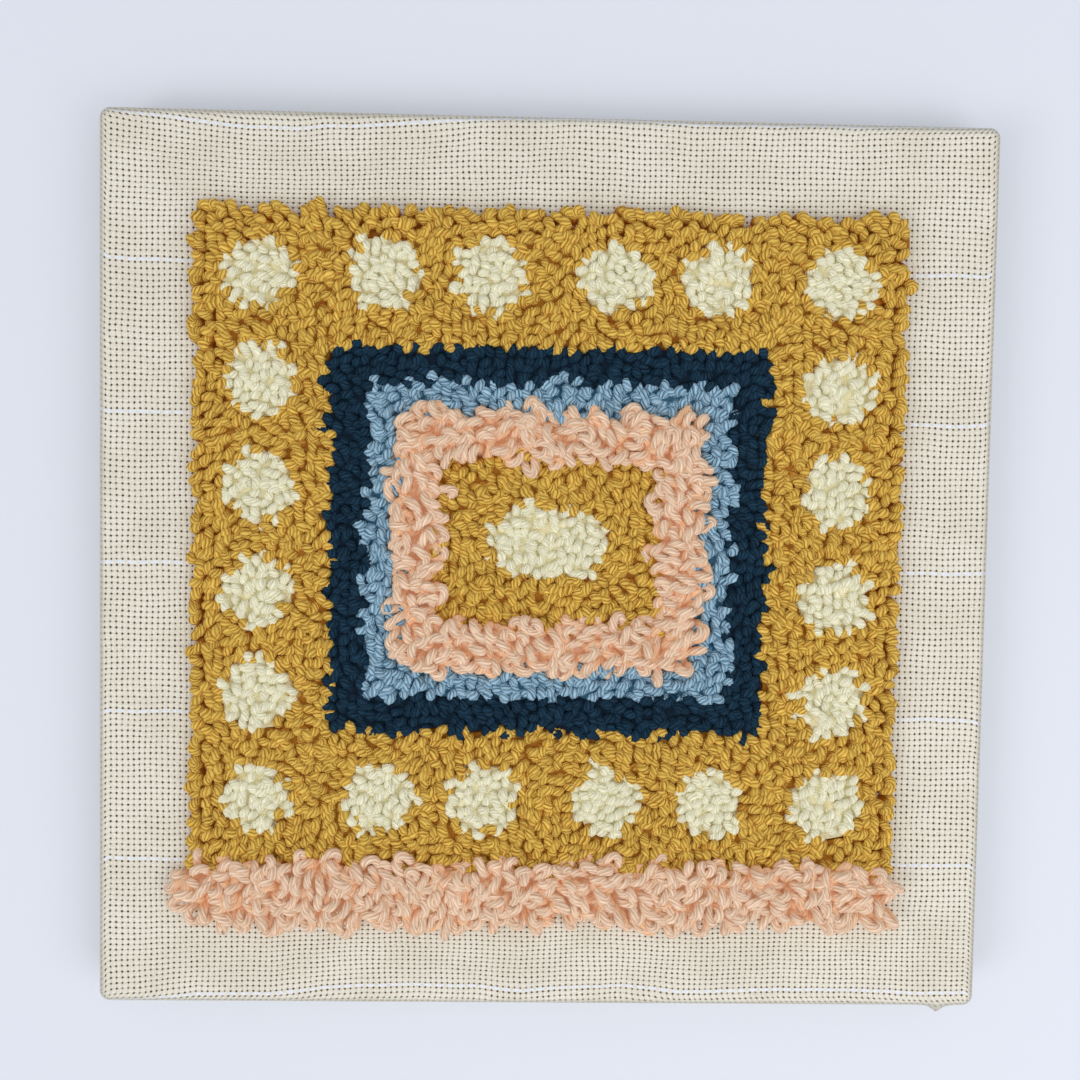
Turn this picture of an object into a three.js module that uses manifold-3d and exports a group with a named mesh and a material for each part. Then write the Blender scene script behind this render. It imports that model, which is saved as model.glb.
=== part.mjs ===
// Punch needle wall piece: an even-weave cloth stretched over a mitred wooden frame,
// with a panel of looped yarn pile punched through its middle.
// Millimetres. The piece lies on its back: +Z comes out of the face, +Y is up the face, +X is to the right.
// The origin is the middle of the back, on the surface that the turned-under cloth lies on.

import * as THREE from 'three';
import Module from 'manifold-3d';
import { mergeVertices } from 'three/addons/utils/BufferGeometryUtils.js';

const wasm = await Module();
wasm.setup();

// Cloth and frame
const SIDE = 304.8; // finished width and height of the face
const HALF = SIDE / 2;
const GAP = 0.3; // clearance between neighbouring pieces
const CLOTH = 1.2; // thickness of the cloth
const CORNER_RADIUS = 4; // plan radius of the cloth's corners
const FLAP = 30; // cloth turned under the frame
const BAR_WIDTH = 38;
const BAR_DEPTH = 19;
const BAR_LIP = 6; // flat strip along a bar's front that carries the cloth
const BAR_BEVEL = 3; // fall of a bar's front from its lip to its inner edge
const BAR_FRONT_EASE = 1.6; // eased outer edges of a bar
const BAR_BACK_EASE = 1.2;
const BAR_TIP_CUT = 4.4; // corner trimmed off the mitred ends, inside the cloth's round corner

// Levels above the back
const BAR_BACK = CLOTH + GAP;
const BAR_FRONT = BAR_BACK + BAR_DEPTH;
const FACE_BACK = BAR_FRONT + GAP;
const FACE = FACE_BACK + CLOTH;
const PILE_ROOT = FACE + GAP;

// The pile is laid out on a square lattice, in cells counted from its lower left corner
const CELL = 5.9;
const CELLS = 41;
const LAST = CELLS - 1;
const PANEL_HALF = (CELL * CELLS) / 2;
const HEM_ROWS = 3; // shag rows along the lower rim
const DOT_CELLS = 4; // a dot is a block of cells without its corners
const DOT_INSET = 2; // cells between a dot and the border's rim
const DOTS_A_SIDE = 6;
const OVAL = { column: 17, row: 20, columns: 7, rows: 4 };
const ROUNDING = { notch: 0.8, shoulder: 0.5 }; // how far a block's corners move onto its ellipse

// Nested frames: how many cells in from the field's rim each one starts
const FRAMES = [
  { node: 'pile_centre', yarn: 'mustard', from: 14 },
  { node: 'pile_peach_frame', yarn: 'peach', from: 12 },
  { node: 'pile_blue_frame', yarn: 'blue', from: 10 },
  { node: 'pile_navy_frame', yarn: 'navy', from: 8 },
  { node: 'pile_border', yarn: 'mustard', from: 0 },
];

// Yarns: pile height, how far a patch drops at its edge, and how lumpy its top is
const YARNS = {
  mustard: { colour: 0xc49a3c, height: 6.2, drop: 1.3, lump: 0.4 },
  cream: { colour: 0xe4dfc4, height: 6.2, drop: 1.3, lump: 0.4 },
  navy: { colour: 0x1b2f42, height: 6.2, drop: 1.3, lump: 0.4 },
  blue: { colour: 0x7f9db5, height: 6.2, drop: 1.3, lump: 0.4 },
  peach: { colour: 0xe2b497, height: 9.2, drop: 1.6, lump: 0.9 },
};
const YARN_ROUGHNESS = 0.95;
const EDGE_WANDER = 1.1; // how far a boundary between two yarns wanders
const DRAW_IN = 0.165; // each patch is drawn in this far, so that two patches stand a gap apart
const RIM_FLARE = 0.9; // loops at the panel's rim lean out this far
const RIM_TUCK = 0.5; // and their roots stand this far in

// Shag locks: loops that flop over the rim of a shag patch
const LOCK = { halfWidth: 2.2, halfHeight: 1.2, rootDepth: 2.4, steps: 3, taper: 0.3, yaw: 0.4 };
const LOCK_REACH = { least: 2.8, spread: 2.4 };
const LOCK_ARCH = 0.7; // rise of a lock that lies on the neighbouring pile
const LOCK_CLEARANCE = 0.4; // between a lock and the short pile under it
const SHORT_TOP = PILE_ROOT + YARNS.mustard.height + YARNS.mustard.lump;
const LOCK_OVER_Z = SHORT_TOP + LOCK_CLEARANCE + LOCK.halfHeight;
const LOCK_TIP_Z = PILE_ROOT + 1.6; // end of a lock that hangs down to the cloth
const LOCK_SKIP = -0.5; // every second edge carries a lock, unless its random value lies below this

const cellKey = (column, row) => `${column},${row}`;

/** Repeatable value from -1 to 1 for a pair of numbers; the salt picks an unrelated series. */
function noise(a, b, salt) {
  const wave = Math.sin(a * 12.9898 + b * 78.233 + salt * 37.719) * 43758.5453;
  return 2 * (wave - Math.floor(wave)) - 1;
}

function geometryFrom(points, faces) {
  const geometry = new THREE.BufferGeometry();
  geometry.setAttribute('position', new THREE.Float32BufferAttribute(points.flat(), 3));
  geometry.setIndex(faces.flat());
  return geometry;
}

function solidFrom(geometry) {
  const bare = geometry.clone();
  bare.deleteAttribute('normal');
  bare.deleteAttribute('uv');
  const merged = mergeVertices(bare, 1e-4);
  const vertProperties = new Float32Array(merged.getAttribute('position').array);
  const triVerts = new Uint32Array(merged.getIndex().array);
  return new wasm.Manifold(new wasm.Mesh({ numProp: 3, vertProperties, triVerts }));
}

function geometryOf(solid) {
  const mesh = solid.getMesh();
  const geometry = new THREE.BufferGeometry();
  geometry.setAttribute('position', new THREE.BufferAttribute(new Float32Array(mesh.vertProperties), 3));
  geometry.setIndex(new THREE.BufferAttribute(new Uint32Array(mesh.triVerts), 1));
  return geometry;
}

function shapeFrom(corners) {
  return new THREE.Shape(corners.map(([x, y]) => new THREE.Vector2(x, y)));
}

// Wooden frame

/** One bar, along X at the +Y side: its section run lengthwise, cut to the mitred plan. */
function barGeometry() {
  const outer = HALF - CLOTH - GAP;
  const inner = outer - BAR_WIDTH;
  const section = shapeFrom([
    [inner, BAR_BACK],
    [outer - BAR_BACK_EASE, BAR_BACK],
    [outer, BAR_BACK + BAR_BACK_EASE],
    [outer, BAR_FRONT - BAR_FRONT_EASE],
    [outer - BAR_FRONT_EASE, BAR_FRONT],
    [outer - BAR_LIP, BAR_FRONT],
    [inner, BAR_FRONT - BAR_BEVEL],
  ]);
  const run = new THREE.ExtrudeGeometry(section, { depth: SIDE, bevelEnabled: false });
  run.translate(0, 0, -HALF);
  run.applyMatrix4(
    new THREE.Matrix4().makeBasis(
      new THREE.Vector3(0, 1, 0),
      new THREE.Vector3(0, 0, 1),
      new THREE.Vector3(1, 0, 0),
    ),
  );

  const mitre = GAP * Math.SQRT1_2;
  const past = 8; // the plan runs past the section on both sides
  const tipSum = 2 * outer - BAR_TIP_CUT;
  const tipY = (tipSum + mitre) / 2;
  const low = [inner - past - mitre, inner - past];
  const tip = [tipY - mitre, tipY];
  const high = [tipSum - outer - past, outer + past];
  const mirrored = ([x, y]) => [-x, y];
  const plan = shapeFrom([low, tip, high, mirrored(high), mirrored(tip), mirrored(low)]);
  const prism = new THREE.ExtrudeGeometry(plan, { depth: BAR_FRONT + past, bevelEnabled: false });

  return geometryOf(solidFrom(run).intersect(solidFrom(prism)));
}

function addBars(group) {
  const pine = { color: 0xd2ae7c, roughness: 0.75, metalness: 0 };
  const geometry = barGeometry();
  ['bar_top', 'bar_left', 'bar_bottom', 'bar_right'].forEach((name, turn) => {
    const bar = new THREE.Mesh(geometry, new THREE.MeshStandardMaterial(pine));
    bar.name = name;
    bar.rotation.z = (turn * Math.PI) / 2;
    group.add(bar);
  });
}

// Cloth: rings of stations around the face, run from the middle of the front, over the edge,
// under the frame to the turned-under hem, and back along the inside

// How far along each straight side the stations lie; the close ones make the corner pleats
const SIDE_STATIONS = [
  { along: 0, pleat: 0.4 },
  { along: 0.045, pleat: 1 },
  { along: 0.075, pleat: 0 },
  { along: 0.3, pleat: 0 },
  { along: 0.5, pleat: 0 },
  { along: 0.7, pleat: 0 },
  { along: 0.925, pleat: 0 },
  { along: 0.955, pleat: 1 },
];
const ARC_STATIONS = 4;
const PLEAT = 1.1; // folded cloth stands proud beside the corners of the top and bottom edges
const SIDE_WAVE = 0.35; // unevenness of the pulled cloth along the sides
const HEM_WAVE = 1.4; // unevenness of the cut hem
const MITRE_GROOVE = 0.4; // hollow where the turned-under cloth is folded at the corners

// Section of the cloth: inset from the face's outline, height, and how much each form shows there
const CLOTH_ROWS = [
  { inset: 80, z: FACE },
  { inset: 28, z: FACE },
  { inset: 12, z: FACE },
  { inset: 3.2, z: FACE },
  { inset: 1.6, z: FACE - 0.45 },
  { inset: 0.5, z: FACE - 1.6, wave: 0.5, pleat: 0.3 },
  { inset: 0, z: FACE - 3.6, wave: 1, pleat: 0.8 },
  { inset: 0, z: 10, wave: 1, pleat: 1 },
  { inset: 0, z: 3, wave: 1, pleat: 1 },
  { inset: 0.6, z: 1.1, wave: 0.5, pleat: 0.6 },
  { inset: 1.9, z: 0.25 },
  { inset: 3.4, z: 0, groove: 0 },
  { inset: FLAP * 0.55, z: 0, groove: 1 },
  { inset: FLAP, z: 0, hem: 1, groove: 1 },
  { inset: FLAP, z: CLOTH, hem: 1 },
  { inset: 3.6, z: CLOTH },
  { inset: 1.9, z: CLOTH + 0.2 },
  { inset: CLOTH, z: 2.6 },
  { inset: CLOTH, z: FACE_BACK - 2.2 },
  { inset: 1.6, z: FACE_BACK - 0.8 },
  { inset: 3, z: FACE_BACK },
  { inset: 28, z: FACE_BACK },
];

/** Points around the face's outline, each with its outward direction and what shows there. */
function clothStations() {
  const stations = [];
  const straight = HALF - CORNER_RADIUS;
  for (let side = 0; side < 4; side += 1) {
    const turn = (side * Math.PI) / 2;
    const place = (x, y, out, more) => {
      const at = new THREE.Vector2(x, y).rotateAround(new THREE.Vector2(), turn);
      stations.push({ at, out: new THREE.Vector2(Math.cos(out + turn), Math.sin(out + turn)), ...more });
    };
    for (const { along, pleat } of SIDE_STATIONS) {
      const isFolded = side % 2 === 1;
      place(HALF, straight * (2 * along - 1), 0, { pleat: isFolded ? pleat : 0, middle: along === 0.5 });
    }
    for (let step = 0; step < ARC_STATIONS; step += 1) {
      const angle = ((step / ARC_STATIONS) * Math.PI) / 2;
      const x = straight + CORNER_RADIUS * Math.cos(angle);
      const y = straight + CORNER_RADIUS * Math.sin(angle);
      place(x, y, angle, { pleat: 0, mitre: step * 2 === ARC_STATIONS });
    }
  }
  return stations;
}

function clothGeometry() {
  const stations = clothStations();
  const count = stations.length;
  const points = [[0, 0, FACE]];
  const faces = [];

  CLOTH_ROWS.forEach(({ inset, z, wave = 0, pleat = 0, hem = 0, groove = 0 }) => {
    stations.forEach((station, index) => {
      const slack = station.middle ? 0 : Math.abs(noise(index, z, 1));
      const ragged = hem * HEM_WAVE * noise(index, 0, 2);
      const scale = (HALF - inset + ragged) / HALF;
      const push = pleat * station.pleat * PLEAT - wave * SIDE_WAVE * slack;
      const lift = station.mitre ? groove * MITRE_GROOVE : 0;
      points.push([
        station.at.x * scale + station.out.x * push,
        station.at.y * scale + station.out.y * push,
        z + lift,
      ]);
    });
  });
  points.push([0, 0, FACE_BACK]);

  const ring = (row, index) => 1 + row * count + (index % count);
  const lastRow = CLOTH_ROWS.length - 1;
  const backMiddle = points.length - 1;
  for (let index = 0; index < count; index += 1) {
    faces.push([0, ring(0, index), ring(0, index + 1)]);
    for (let row = 0; row < lastRow; row += 1) {
      faces.push([ring(row, index), ring(row + 1, index), ring(row + 1, index + 1)]);
      faces.push([ring(row, index), ring(row + 1, index + 1), ring(row, index + 1)]);
    }
    faces.push([ring(lastRow, index), backMiddle, ring(lastRow, index + 1)]);
  }
  return geometryFrom(points, faces);
}

function addCloth(group) {
  const natural = { color: 0xdcd6c6, roughness: 0.95, metalness: 0 };
  const cloth = new THREE.Mesh(clothGeometry(), new THREE.MeshStandardMaterial(natural));
  cloth.name = 'cloth';
  group.add(cloth);
}

// Pile layout: which yarn patch each cell of the lattice belongs to

function dotStarts(low, high) {
  const starts = [];
  for (let index = 0; index < DOTS_A_SIDE; index += 1) {
    starts.push(Math.round(low + ((high - low) * index) / (DOTS_A_SIDE - 1)));
  }
  return starts;
}

/** A block of cells without its four corner cells. */
function roundedBlock(column, row, columns, rows) {
  const cells = [];
  for (let i = 0; i < columns; i += 1) {
    for (let j = 0; j < rows; j += 1) {
      const atSide = i === 0 || i === columns - 1;
      const atEnd = j === 0 || j === rows - 1;
      if (!(atSide && atEnd)) {
        cells.push([column + i, row + j]);
      }
    }
  }
  return cells;
}

// Shifts of the lattice corners around the rounded blocks, in cells
const cornerShifts = new Map();

/** Moves the stepped outline of a rounded block towards the ellipse that fills the block. */
function roundOutline(column, row, columns, rows) {
  const middle = { x: column + columns / 2, y: row + rows / 2 };
  const isCut = (at, start, count) => at <= start + 1 || at >= start + count - 1;
  for (let i = column; i <= column + columns; i += 1) {
    for (let j = row; j <= row + rows; j += 1) {
      const dx = i - middle.x;
      const dy = j - middle.y;
      const onEllipse = Math.hypot((2 * dx) / columns, (2 * dy) / rows);
      if (isCut(i, column, columns) && isCut(j, row, rows)) {
        const ease = onEllipse < 1 ? ROUNDING.notch : ROUNDING.shoulder;
        const isOuter = Math.abs(dx) === columns / 2 && Math.abs(dy) === rows / 2;
        const scale = isOuter ? 0 : ease * (1 / onEllipse - 1);
        cornerShifts.set(cellKey(i, j), [dx * scale, dy * scale]);
      }
    }
  }
}

/** All yarn patches, as { node, yarn, cells }. */
function pilePatches() {
  const patches = new Map();
  const owner = new Map();
  const claim = (node, yarn, cells) => {
    patches.set(node, { node, yarn, cells: new Set() });
    cells.forEach(([column, row]) => owner.set(cellKey(column, row), node));
  };

  const everyCell = [];
  for (let column = 0; column < CELLS; column += 1) {
    for (let row = 0; row < CELLS; row += 1) {
      everyCell.push([column, row]);
    }
  }
  const depthIn = ([column, row]) => Math.min(column, LAST - column, row - HEM_ROWS, LAST - row);
  let reach = Infinity;
  for (const { node, yarn, from } of FRAMES) {
    const inFrame = (cell) => depthIn(cell) >= from && depthIn(cell) < reach;
    claim(node, yarn, everyCell.filter(inFrame));
    reach = from;
  }
  claim('pile_hem', 'peach', everyCell.filter(([, row]) => row < HEM_ROWS));
  claim('pile_oval', 'cream', roundedBlock(OVAL.column, OVAL.row, OVAL.columns, OVAL.rows));
  roundOutline(OVAL.column, OVAL.row, OVAL.columns, OVAL.rows);

  const far = LAST - DOT_INSET - DOT_CELLS + 1;
  const columns = dotStarts(DOT_INSET, far);
  const rows = dotStarts(HEM_ROWS + DOT_INSET, far);
  let dots = 0;
  for (const column of columns) {
    for (const row of rows) {
      const onSide = column === columns[0] || column === far;
      const onEnd = row === rows[0] || row === far;
      if (onSide || onEnd) {
        dots += 1;
        const node = `pile_dot_${String(dots).padStart(2, '0')}`;
        claim(node, 'cream', roundedBlock(column, row, DOT_CELLS, DOT_CELLS));
        roundOutline(column, row, DOT_CELLS, DOT_CELLS);
      }
    }
  }

  owner.forEach((node, key) => patches.get(node).cells.add(key));
  return [...patches.values()];
}

// Pile solids

/** Plan point of a lattice corner, the same for every patch that meets there. */
function latticePoint(column, row) {
  const [shiftX, shiftY] = cornerShifts.get(cellKey(column, row)) ?? [0, 0];
  return [
    (column + shiftX) * CELL - PANEL_HALF + EDGE_WANDER * noise(column, row, 3),
    (row + shiftY) * CELL - PANEL_HALF + EDGE_WANDER * noise(column, row, 4),
  ];
}

/** True where three points turn left in plan. */
function turnsLeft([ax, ay], [bx, by], [cx, cy]) {
  return (bx - ax) * (cy - ay) > (by - ay) * (cx - ax);
}

/** Signs that point from a lattice corner into its patch, zero where the patch lies on both sides. */
function inwardAt(column, row, has) {
  const at = (i, j) => (has(column + i, row + j) ? 1 : 0);
  return {
    x: Math.sign(at(0, 0) + at(0, -1) - at(-1, 0) - at(-1, -1)),
    y: Math.sign(at(0, 0) + at(-1, 0) - at(0, -1) - at(-1, -1)),
  };
}

/** A lumpy slab over the cells of one patch, drawn in a little all round. */
function slabGeometry(cells, yarn) {
  const has = (column, row) => cells.has(cellKey(column, row));
  const points = [];
  const faces = [];
  const placed = new Map();

  const corner = (column, row) => {
    const key = cellKey(column, row);
    if (!placed.has(key)) {
      const inward = inwardAt(column, row, has);
      const isEdge = inward.x !== 0 || inward.y !== 0;
      const rimX = column === 0 || column === CELLS ? inward.x : 0;
      const rimY = row === 0 || row === CELLS ? inward.y : 0;
      const [x, y] = latticePoint(column, row);
      const top = yarn.height - (isEdge ? yarn.drop : 0) + yarn.lump * noise(column, row, 5);
      placed.set(key, { top: points.length, root: points.length + 1 });
      points.push([
        x + DRAW_IN * inward.x - RIM_FLARE * rimX,
        y + DRAW_IN * inward.y - RIM_FLARE * rimY,
        PILE_ROOT + top,
      ]);
      points.push([
        x + DRAW_IN * inward.x + RIM_TUCK * rimX,
        y + DRAW_IN * inward.y + RIM_TUCK * rimY,
        PILE_ROOT,
      ]);
    }
    return placed.get(key);
  };

  for (const key of cells) {
    const [column, row] = key.split(',').map(Number);
    const [a, b] = [corner(column, row), corner(column + 1, row)];
    const [c, d] = [corner(column + 1, row + 1), corner(column, row + 1)];
    const [pa, pb, pc, pd] = [a, b, c, d].map(({ root }) => points[root]);
    const alongAC = turnsLeft(pa, pb, pc) && turnsLeft(pa, pc, pd);
    const halves = alongAC ? [[a, b, c], [a, c, d]] : [[a, b, d], [b, c, d]];
    for (const [u, v, w] of halves) {
      faces.push([u.top, v.top, w.top], [u.root, w.root, v.root]);
    }
    const walls = [
      { from: a, to: b, open: !has(column, row - 1) },
      { from: b, to: c, open: !has(column + 1, row) },
      { from: c, to: d, open: !has(column, row + 1) },
      { from: d, to: a, open: !has(column - 1, row) },
    ];
    for (const { from, to, open } of walls) {
      if (open) {
        faces.push([from.root, to.root, to.top], [from.root, to.top, from.top]);
      }
    }
  }
  return geometryFrom(points, faces);
}

/** One four-sided lock from a root point, along a direction in plan, with a height for each step. */
function lockGeometry(root, angle, reach, heightAt) {
  const along = [Math.cos(angle), Math.sin(angle)];
  const left = [-along[1], along[0]];
  const points = [];
  const faces = [];
  for (let step = 0; step <= LOCK.steps; step += 1) {
    const t = step / LOCK.steps;
    const size = 1 - LOCK.taper * t;
    const x = root[0] + along[0] * reach * t;
    const y = root[1] + along[1] * reach * t;
    const z = heightAt(t);
    const halfWidth = LOCK.halfWidth * size;
    const halfHeight = LOCK.halfHeight * size;
    points.push([x + left[0] * halfWidth, y + left[1] * halfWidth, z]);
    points.push([x, y, z + halfHeight]);
    points.push([x - left[0] * halfWidth, y - left[1] * halfWidth, z]);
    points.push([x, y, z - halfHeight]);
  }
  for (let step = 0; step < LOCK.steps; step += 1) {
    for (let side = 0; side < 4; side += 1) {
      const [near, next] = [step * 4 + side, step * 4 + ((side + 1) % 4)];
      faces.push([near, next + 4, near + 4], [near, next, next + 4]);
    }
  }
  const tip = LOCK.steps * 4;
  faces.push([0, 3, 2], [0, 2, 1]);
  faces.push([tip, tip + 1, tip + 2], [tip, tip + 2, tip + 3]);
  return geometryFrom(points, faces);
}

/** Every second open edge of a patch: its middle, its outward direction and whether it is on the rim. */
function lockEdges(cells) {
  const sides = [
    { i: 0, j: -1 },
    { i: 1, j: 0 },
    { i: 0, j: 1 },
    { i: -1, j: 0 },
  ];
  const edges = [];
  for (const key of cells) {
    const [column, row] = key.split(',').map(Number);
    for (const { i, j } of sides) {
      const isOpen = !cells.has(cellKey(column + i, row + j));
      if (isOpen && (column + row) % 2 === 0) {
        const isRim = Math.min(column + i, row + j) < 0 || Math.max(column + i, row + j) > LAST;
        edges.push({
          x: (column + 0.5 + i / 2) * CELL - PANEL_HALF,
          y: (row + 0.5 + j / 2) * CELL - PANEL_HALF,
          i,
          j,
          isRim,
        });
      }
    }
  }
  return edges;
}

/** A shag patch: its slab with locks that flop over the neighbouring pile or down to the cloth. */
function shagGeometry(cells, yarn) {
  let solid = solidFrom(slabGeometry(cells, yarn));
  for (const { x, y, i, j, isRim } of lockEdges(cells)) {
    const chance = noise(x, y, 6);
    if (chance > LOCK_SKIP) {
      const angle = Math.atan2(j, i) + LOCK.yaw * noise(x, y, 7);
      const reach = LOCK.rootDepth + LOCK_REACH.least + LOCK_REACH.spread * chance;
      const root = [x - i * LOCK.rootDepth, y - j * LOCK.rootDepth];
      const over = (t) => LOCK_OVER_Z + LOCK_ARCH * Math.sin(Math.PI * t);
      const down = (t) => LOCK_OVER_Z - (LOCK_OVER_Z - LOCK_TIP_Z) * t * t;
      solid = solid.add(solidFrom(lockGeometry(root, angle, reach, isRim ? down : over)));
    }
  }
  return geometryOf(solid);
}

function addPile(group) {
  for (const { node, yarn, cells } of pilePatches()) {
    const style = YARNS[yarn];
    const geometry = yarn === 'peach' ? shagGeometry(cells, style) : slabGeometry(cells, style);
    const finish = { color: style.colour, roughness: YARN_ROUGHNESS, metalness: 0 };
    const patch = new THREE.Mesh(geometry, new THREE.MeshStandardMaterial(finish));
    patch.name = node;
    group.add(patch);
  }
}

const piece = new THREE.Group();
addBars(piece);
addCloth(piece);
addPile(piece);

export default piece;
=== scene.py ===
"""Dresses a punch needle wall piece: plied yarn loops, stretched even-weave cloth and a pine frame.

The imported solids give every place: the patch that each loop belongs to is read from the patch's own
solid. Metres throughout, in the solids' frame, with +Z out of the face and +Y up the face.
"""

import logging
import math
from dataclasses import dataclass, field
from enum import Enum
from typing import Any, Iterable, Union

import bpy
import numpy as np
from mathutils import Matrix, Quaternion, Vector
from mathutils.bvhtree import BVHTree
from mathutils.kdtree import KDTree


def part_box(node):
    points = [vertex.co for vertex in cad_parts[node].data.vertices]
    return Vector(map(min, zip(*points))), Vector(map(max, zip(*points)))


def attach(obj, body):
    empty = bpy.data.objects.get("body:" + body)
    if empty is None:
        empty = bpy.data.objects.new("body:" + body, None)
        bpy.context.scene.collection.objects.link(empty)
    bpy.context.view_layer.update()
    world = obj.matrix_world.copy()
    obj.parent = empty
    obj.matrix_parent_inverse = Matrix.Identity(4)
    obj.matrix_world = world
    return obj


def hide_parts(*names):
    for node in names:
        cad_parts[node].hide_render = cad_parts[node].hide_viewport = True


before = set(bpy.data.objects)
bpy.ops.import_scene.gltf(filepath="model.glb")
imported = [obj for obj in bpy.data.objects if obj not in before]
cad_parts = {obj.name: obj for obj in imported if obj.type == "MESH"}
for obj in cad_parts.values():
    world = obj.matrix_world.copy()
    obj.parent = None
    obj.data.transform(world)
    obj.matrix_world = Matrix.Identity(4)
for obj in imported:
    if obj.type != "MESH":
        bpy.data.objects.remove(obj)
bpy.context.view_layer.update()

LOG = logging.getLogger("wall_piece")
BODY = "root"
MM = 0.001
UP = Vector((0.0, 0.0, 1.0))
CLOTH_THICKNESS = 1.2 * MM
ANY_PHASE = (0.0, 6.3)
NEIGHBOURS = ((0, 1), (0, -1), (1, 1), (1, -1))
NOISE_SPAN = (0.3, 0.7)
NOISE_CORE = (0.35, 0.65)

Array = np.ndarray
Triple = tuple[float, float, float]
Colour = Triple
Socket = bpy.types.NodeSocket
Source = Union[Socket, float, Colour]


class Yarn(Enum):
    """The yarns of the pile, by the record's material slots."""

    MUSTARD = "yarn_mustard"
    CREAM = "yarn_cream"
    NAVY = "yarn_navy"
    BLUE = "yarn_blue"
    PEACH = "yarn_peach"


class Grain(Enum):
    """The way that a bar's wood grain runs."""

    ALONG_X = "x"
    ALONG_Y = "y"


def linear(red: int, green: int, blue: int) -> Colour:
    """Turns a colour of the screen, 0 to 255, into the renderer's linear one.

    Args:
        red: Red share, 0 to 255.
        green: Green share, 0 to 255.
        blue: Blue share, 0 to 255.

    Returns:
        The linear colour.
    """
    shares = (channel / 255.0 for channel in (red, green, blue))
    return tuple(c / 12.92 if c <= 0.04045 else ((c + 0.055) / 1.055) ** 2.4 for c in shares)


def smooth_step(low: float, high: float, values: Array) -> Array:
    """Rises smoothly from 0 at low to 1 at high.

    Args:
        low: Where the rise starts.
        high: Where it ends.
        values: The places asked for.

    Returns:
        The share at each place.
    """
    share = np.clip((values - low) / (high - low), 0.0, 1.0)
    return share * share * (3.0 - 2.0 * share)


def unit(vectors: Array) -> Array:
    """Scales vectors along the last axis to length 1."""
    return vectors / np.maximum(np.linalg.norm(vectors, axis=-1, keepdims=True), 1e-12)


@dataclass
class MeshData:
    """Plain arrays of a mesh that is still being put together."""

    points: Array
    faces: list[Array]
    corner_uv: Array
    point_data: Array | None = None

    def joined(self, other: "MeshData") -> "MeshData":
        """Adds another mesh with the same kinds of data.

        Args:
            other: The other mesh.

        Returns:
            Both as one.
        """
        moved = [part + len(self.points) for part in other.faces]
        return MeshData(
            np.concatenate([self.points, other.points]),
            self.faces + moved,
            np.concatenate([self.corner_uv, other.corner_uv]),
            np.concatenate([self.point_data, other.point_data]),
        )

    def build(self, name: str) -> bpy.types.Object:
        """Makes a smooth-shaded object of the arrays.

        Args:
            name: The piece's name.

        Returns:
            The new object, linked to the scene.
        """
        sides = np.concatenate([np.full(len(part), part.shape[1]) for part in self.faces])
        corners = np.concatenate([part.ravel() for part in self.faces]).astype(np.int32)
        mesh = bpy.data.meshes.new(name)
        mesh.vertices.add(len(self.points))
        mesh.vertices.foreach_set("co", self.points.astype(np.float32).ravel())
        mesh.loops.add(len(corners))
        mesh.loops.foreach_set("vertex_index", corners)
        mesh.polygons.add(len(sides))
        mesh.polygons.foreach_set("loop_start", (np.cumsum(sides) - sides).astype(np.int32))
        mesh.polygons.foreach_set("use_smooth", np.ones(len(sides), bool))
        layer = mesh.uv_layers.new(name="strand")
        layer.data.foreach_set("uv", self.corner_uv.astype(np.float32).ravel())
        if self.point_data is not None:
            rows = mesh.attributes.new("yarn", "FLOAT_COLOR", "POINT")
            rows.data.foreach_set("color", self.point_data.astype(np.float32).ravel())
        mesh.update(calc_edges=True)
        mesh.validate()
        piece = bpy.data.objects.new(name, mesh)
        bpy.context.scene.collection.objects.link(piece)
        return piece


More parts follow.
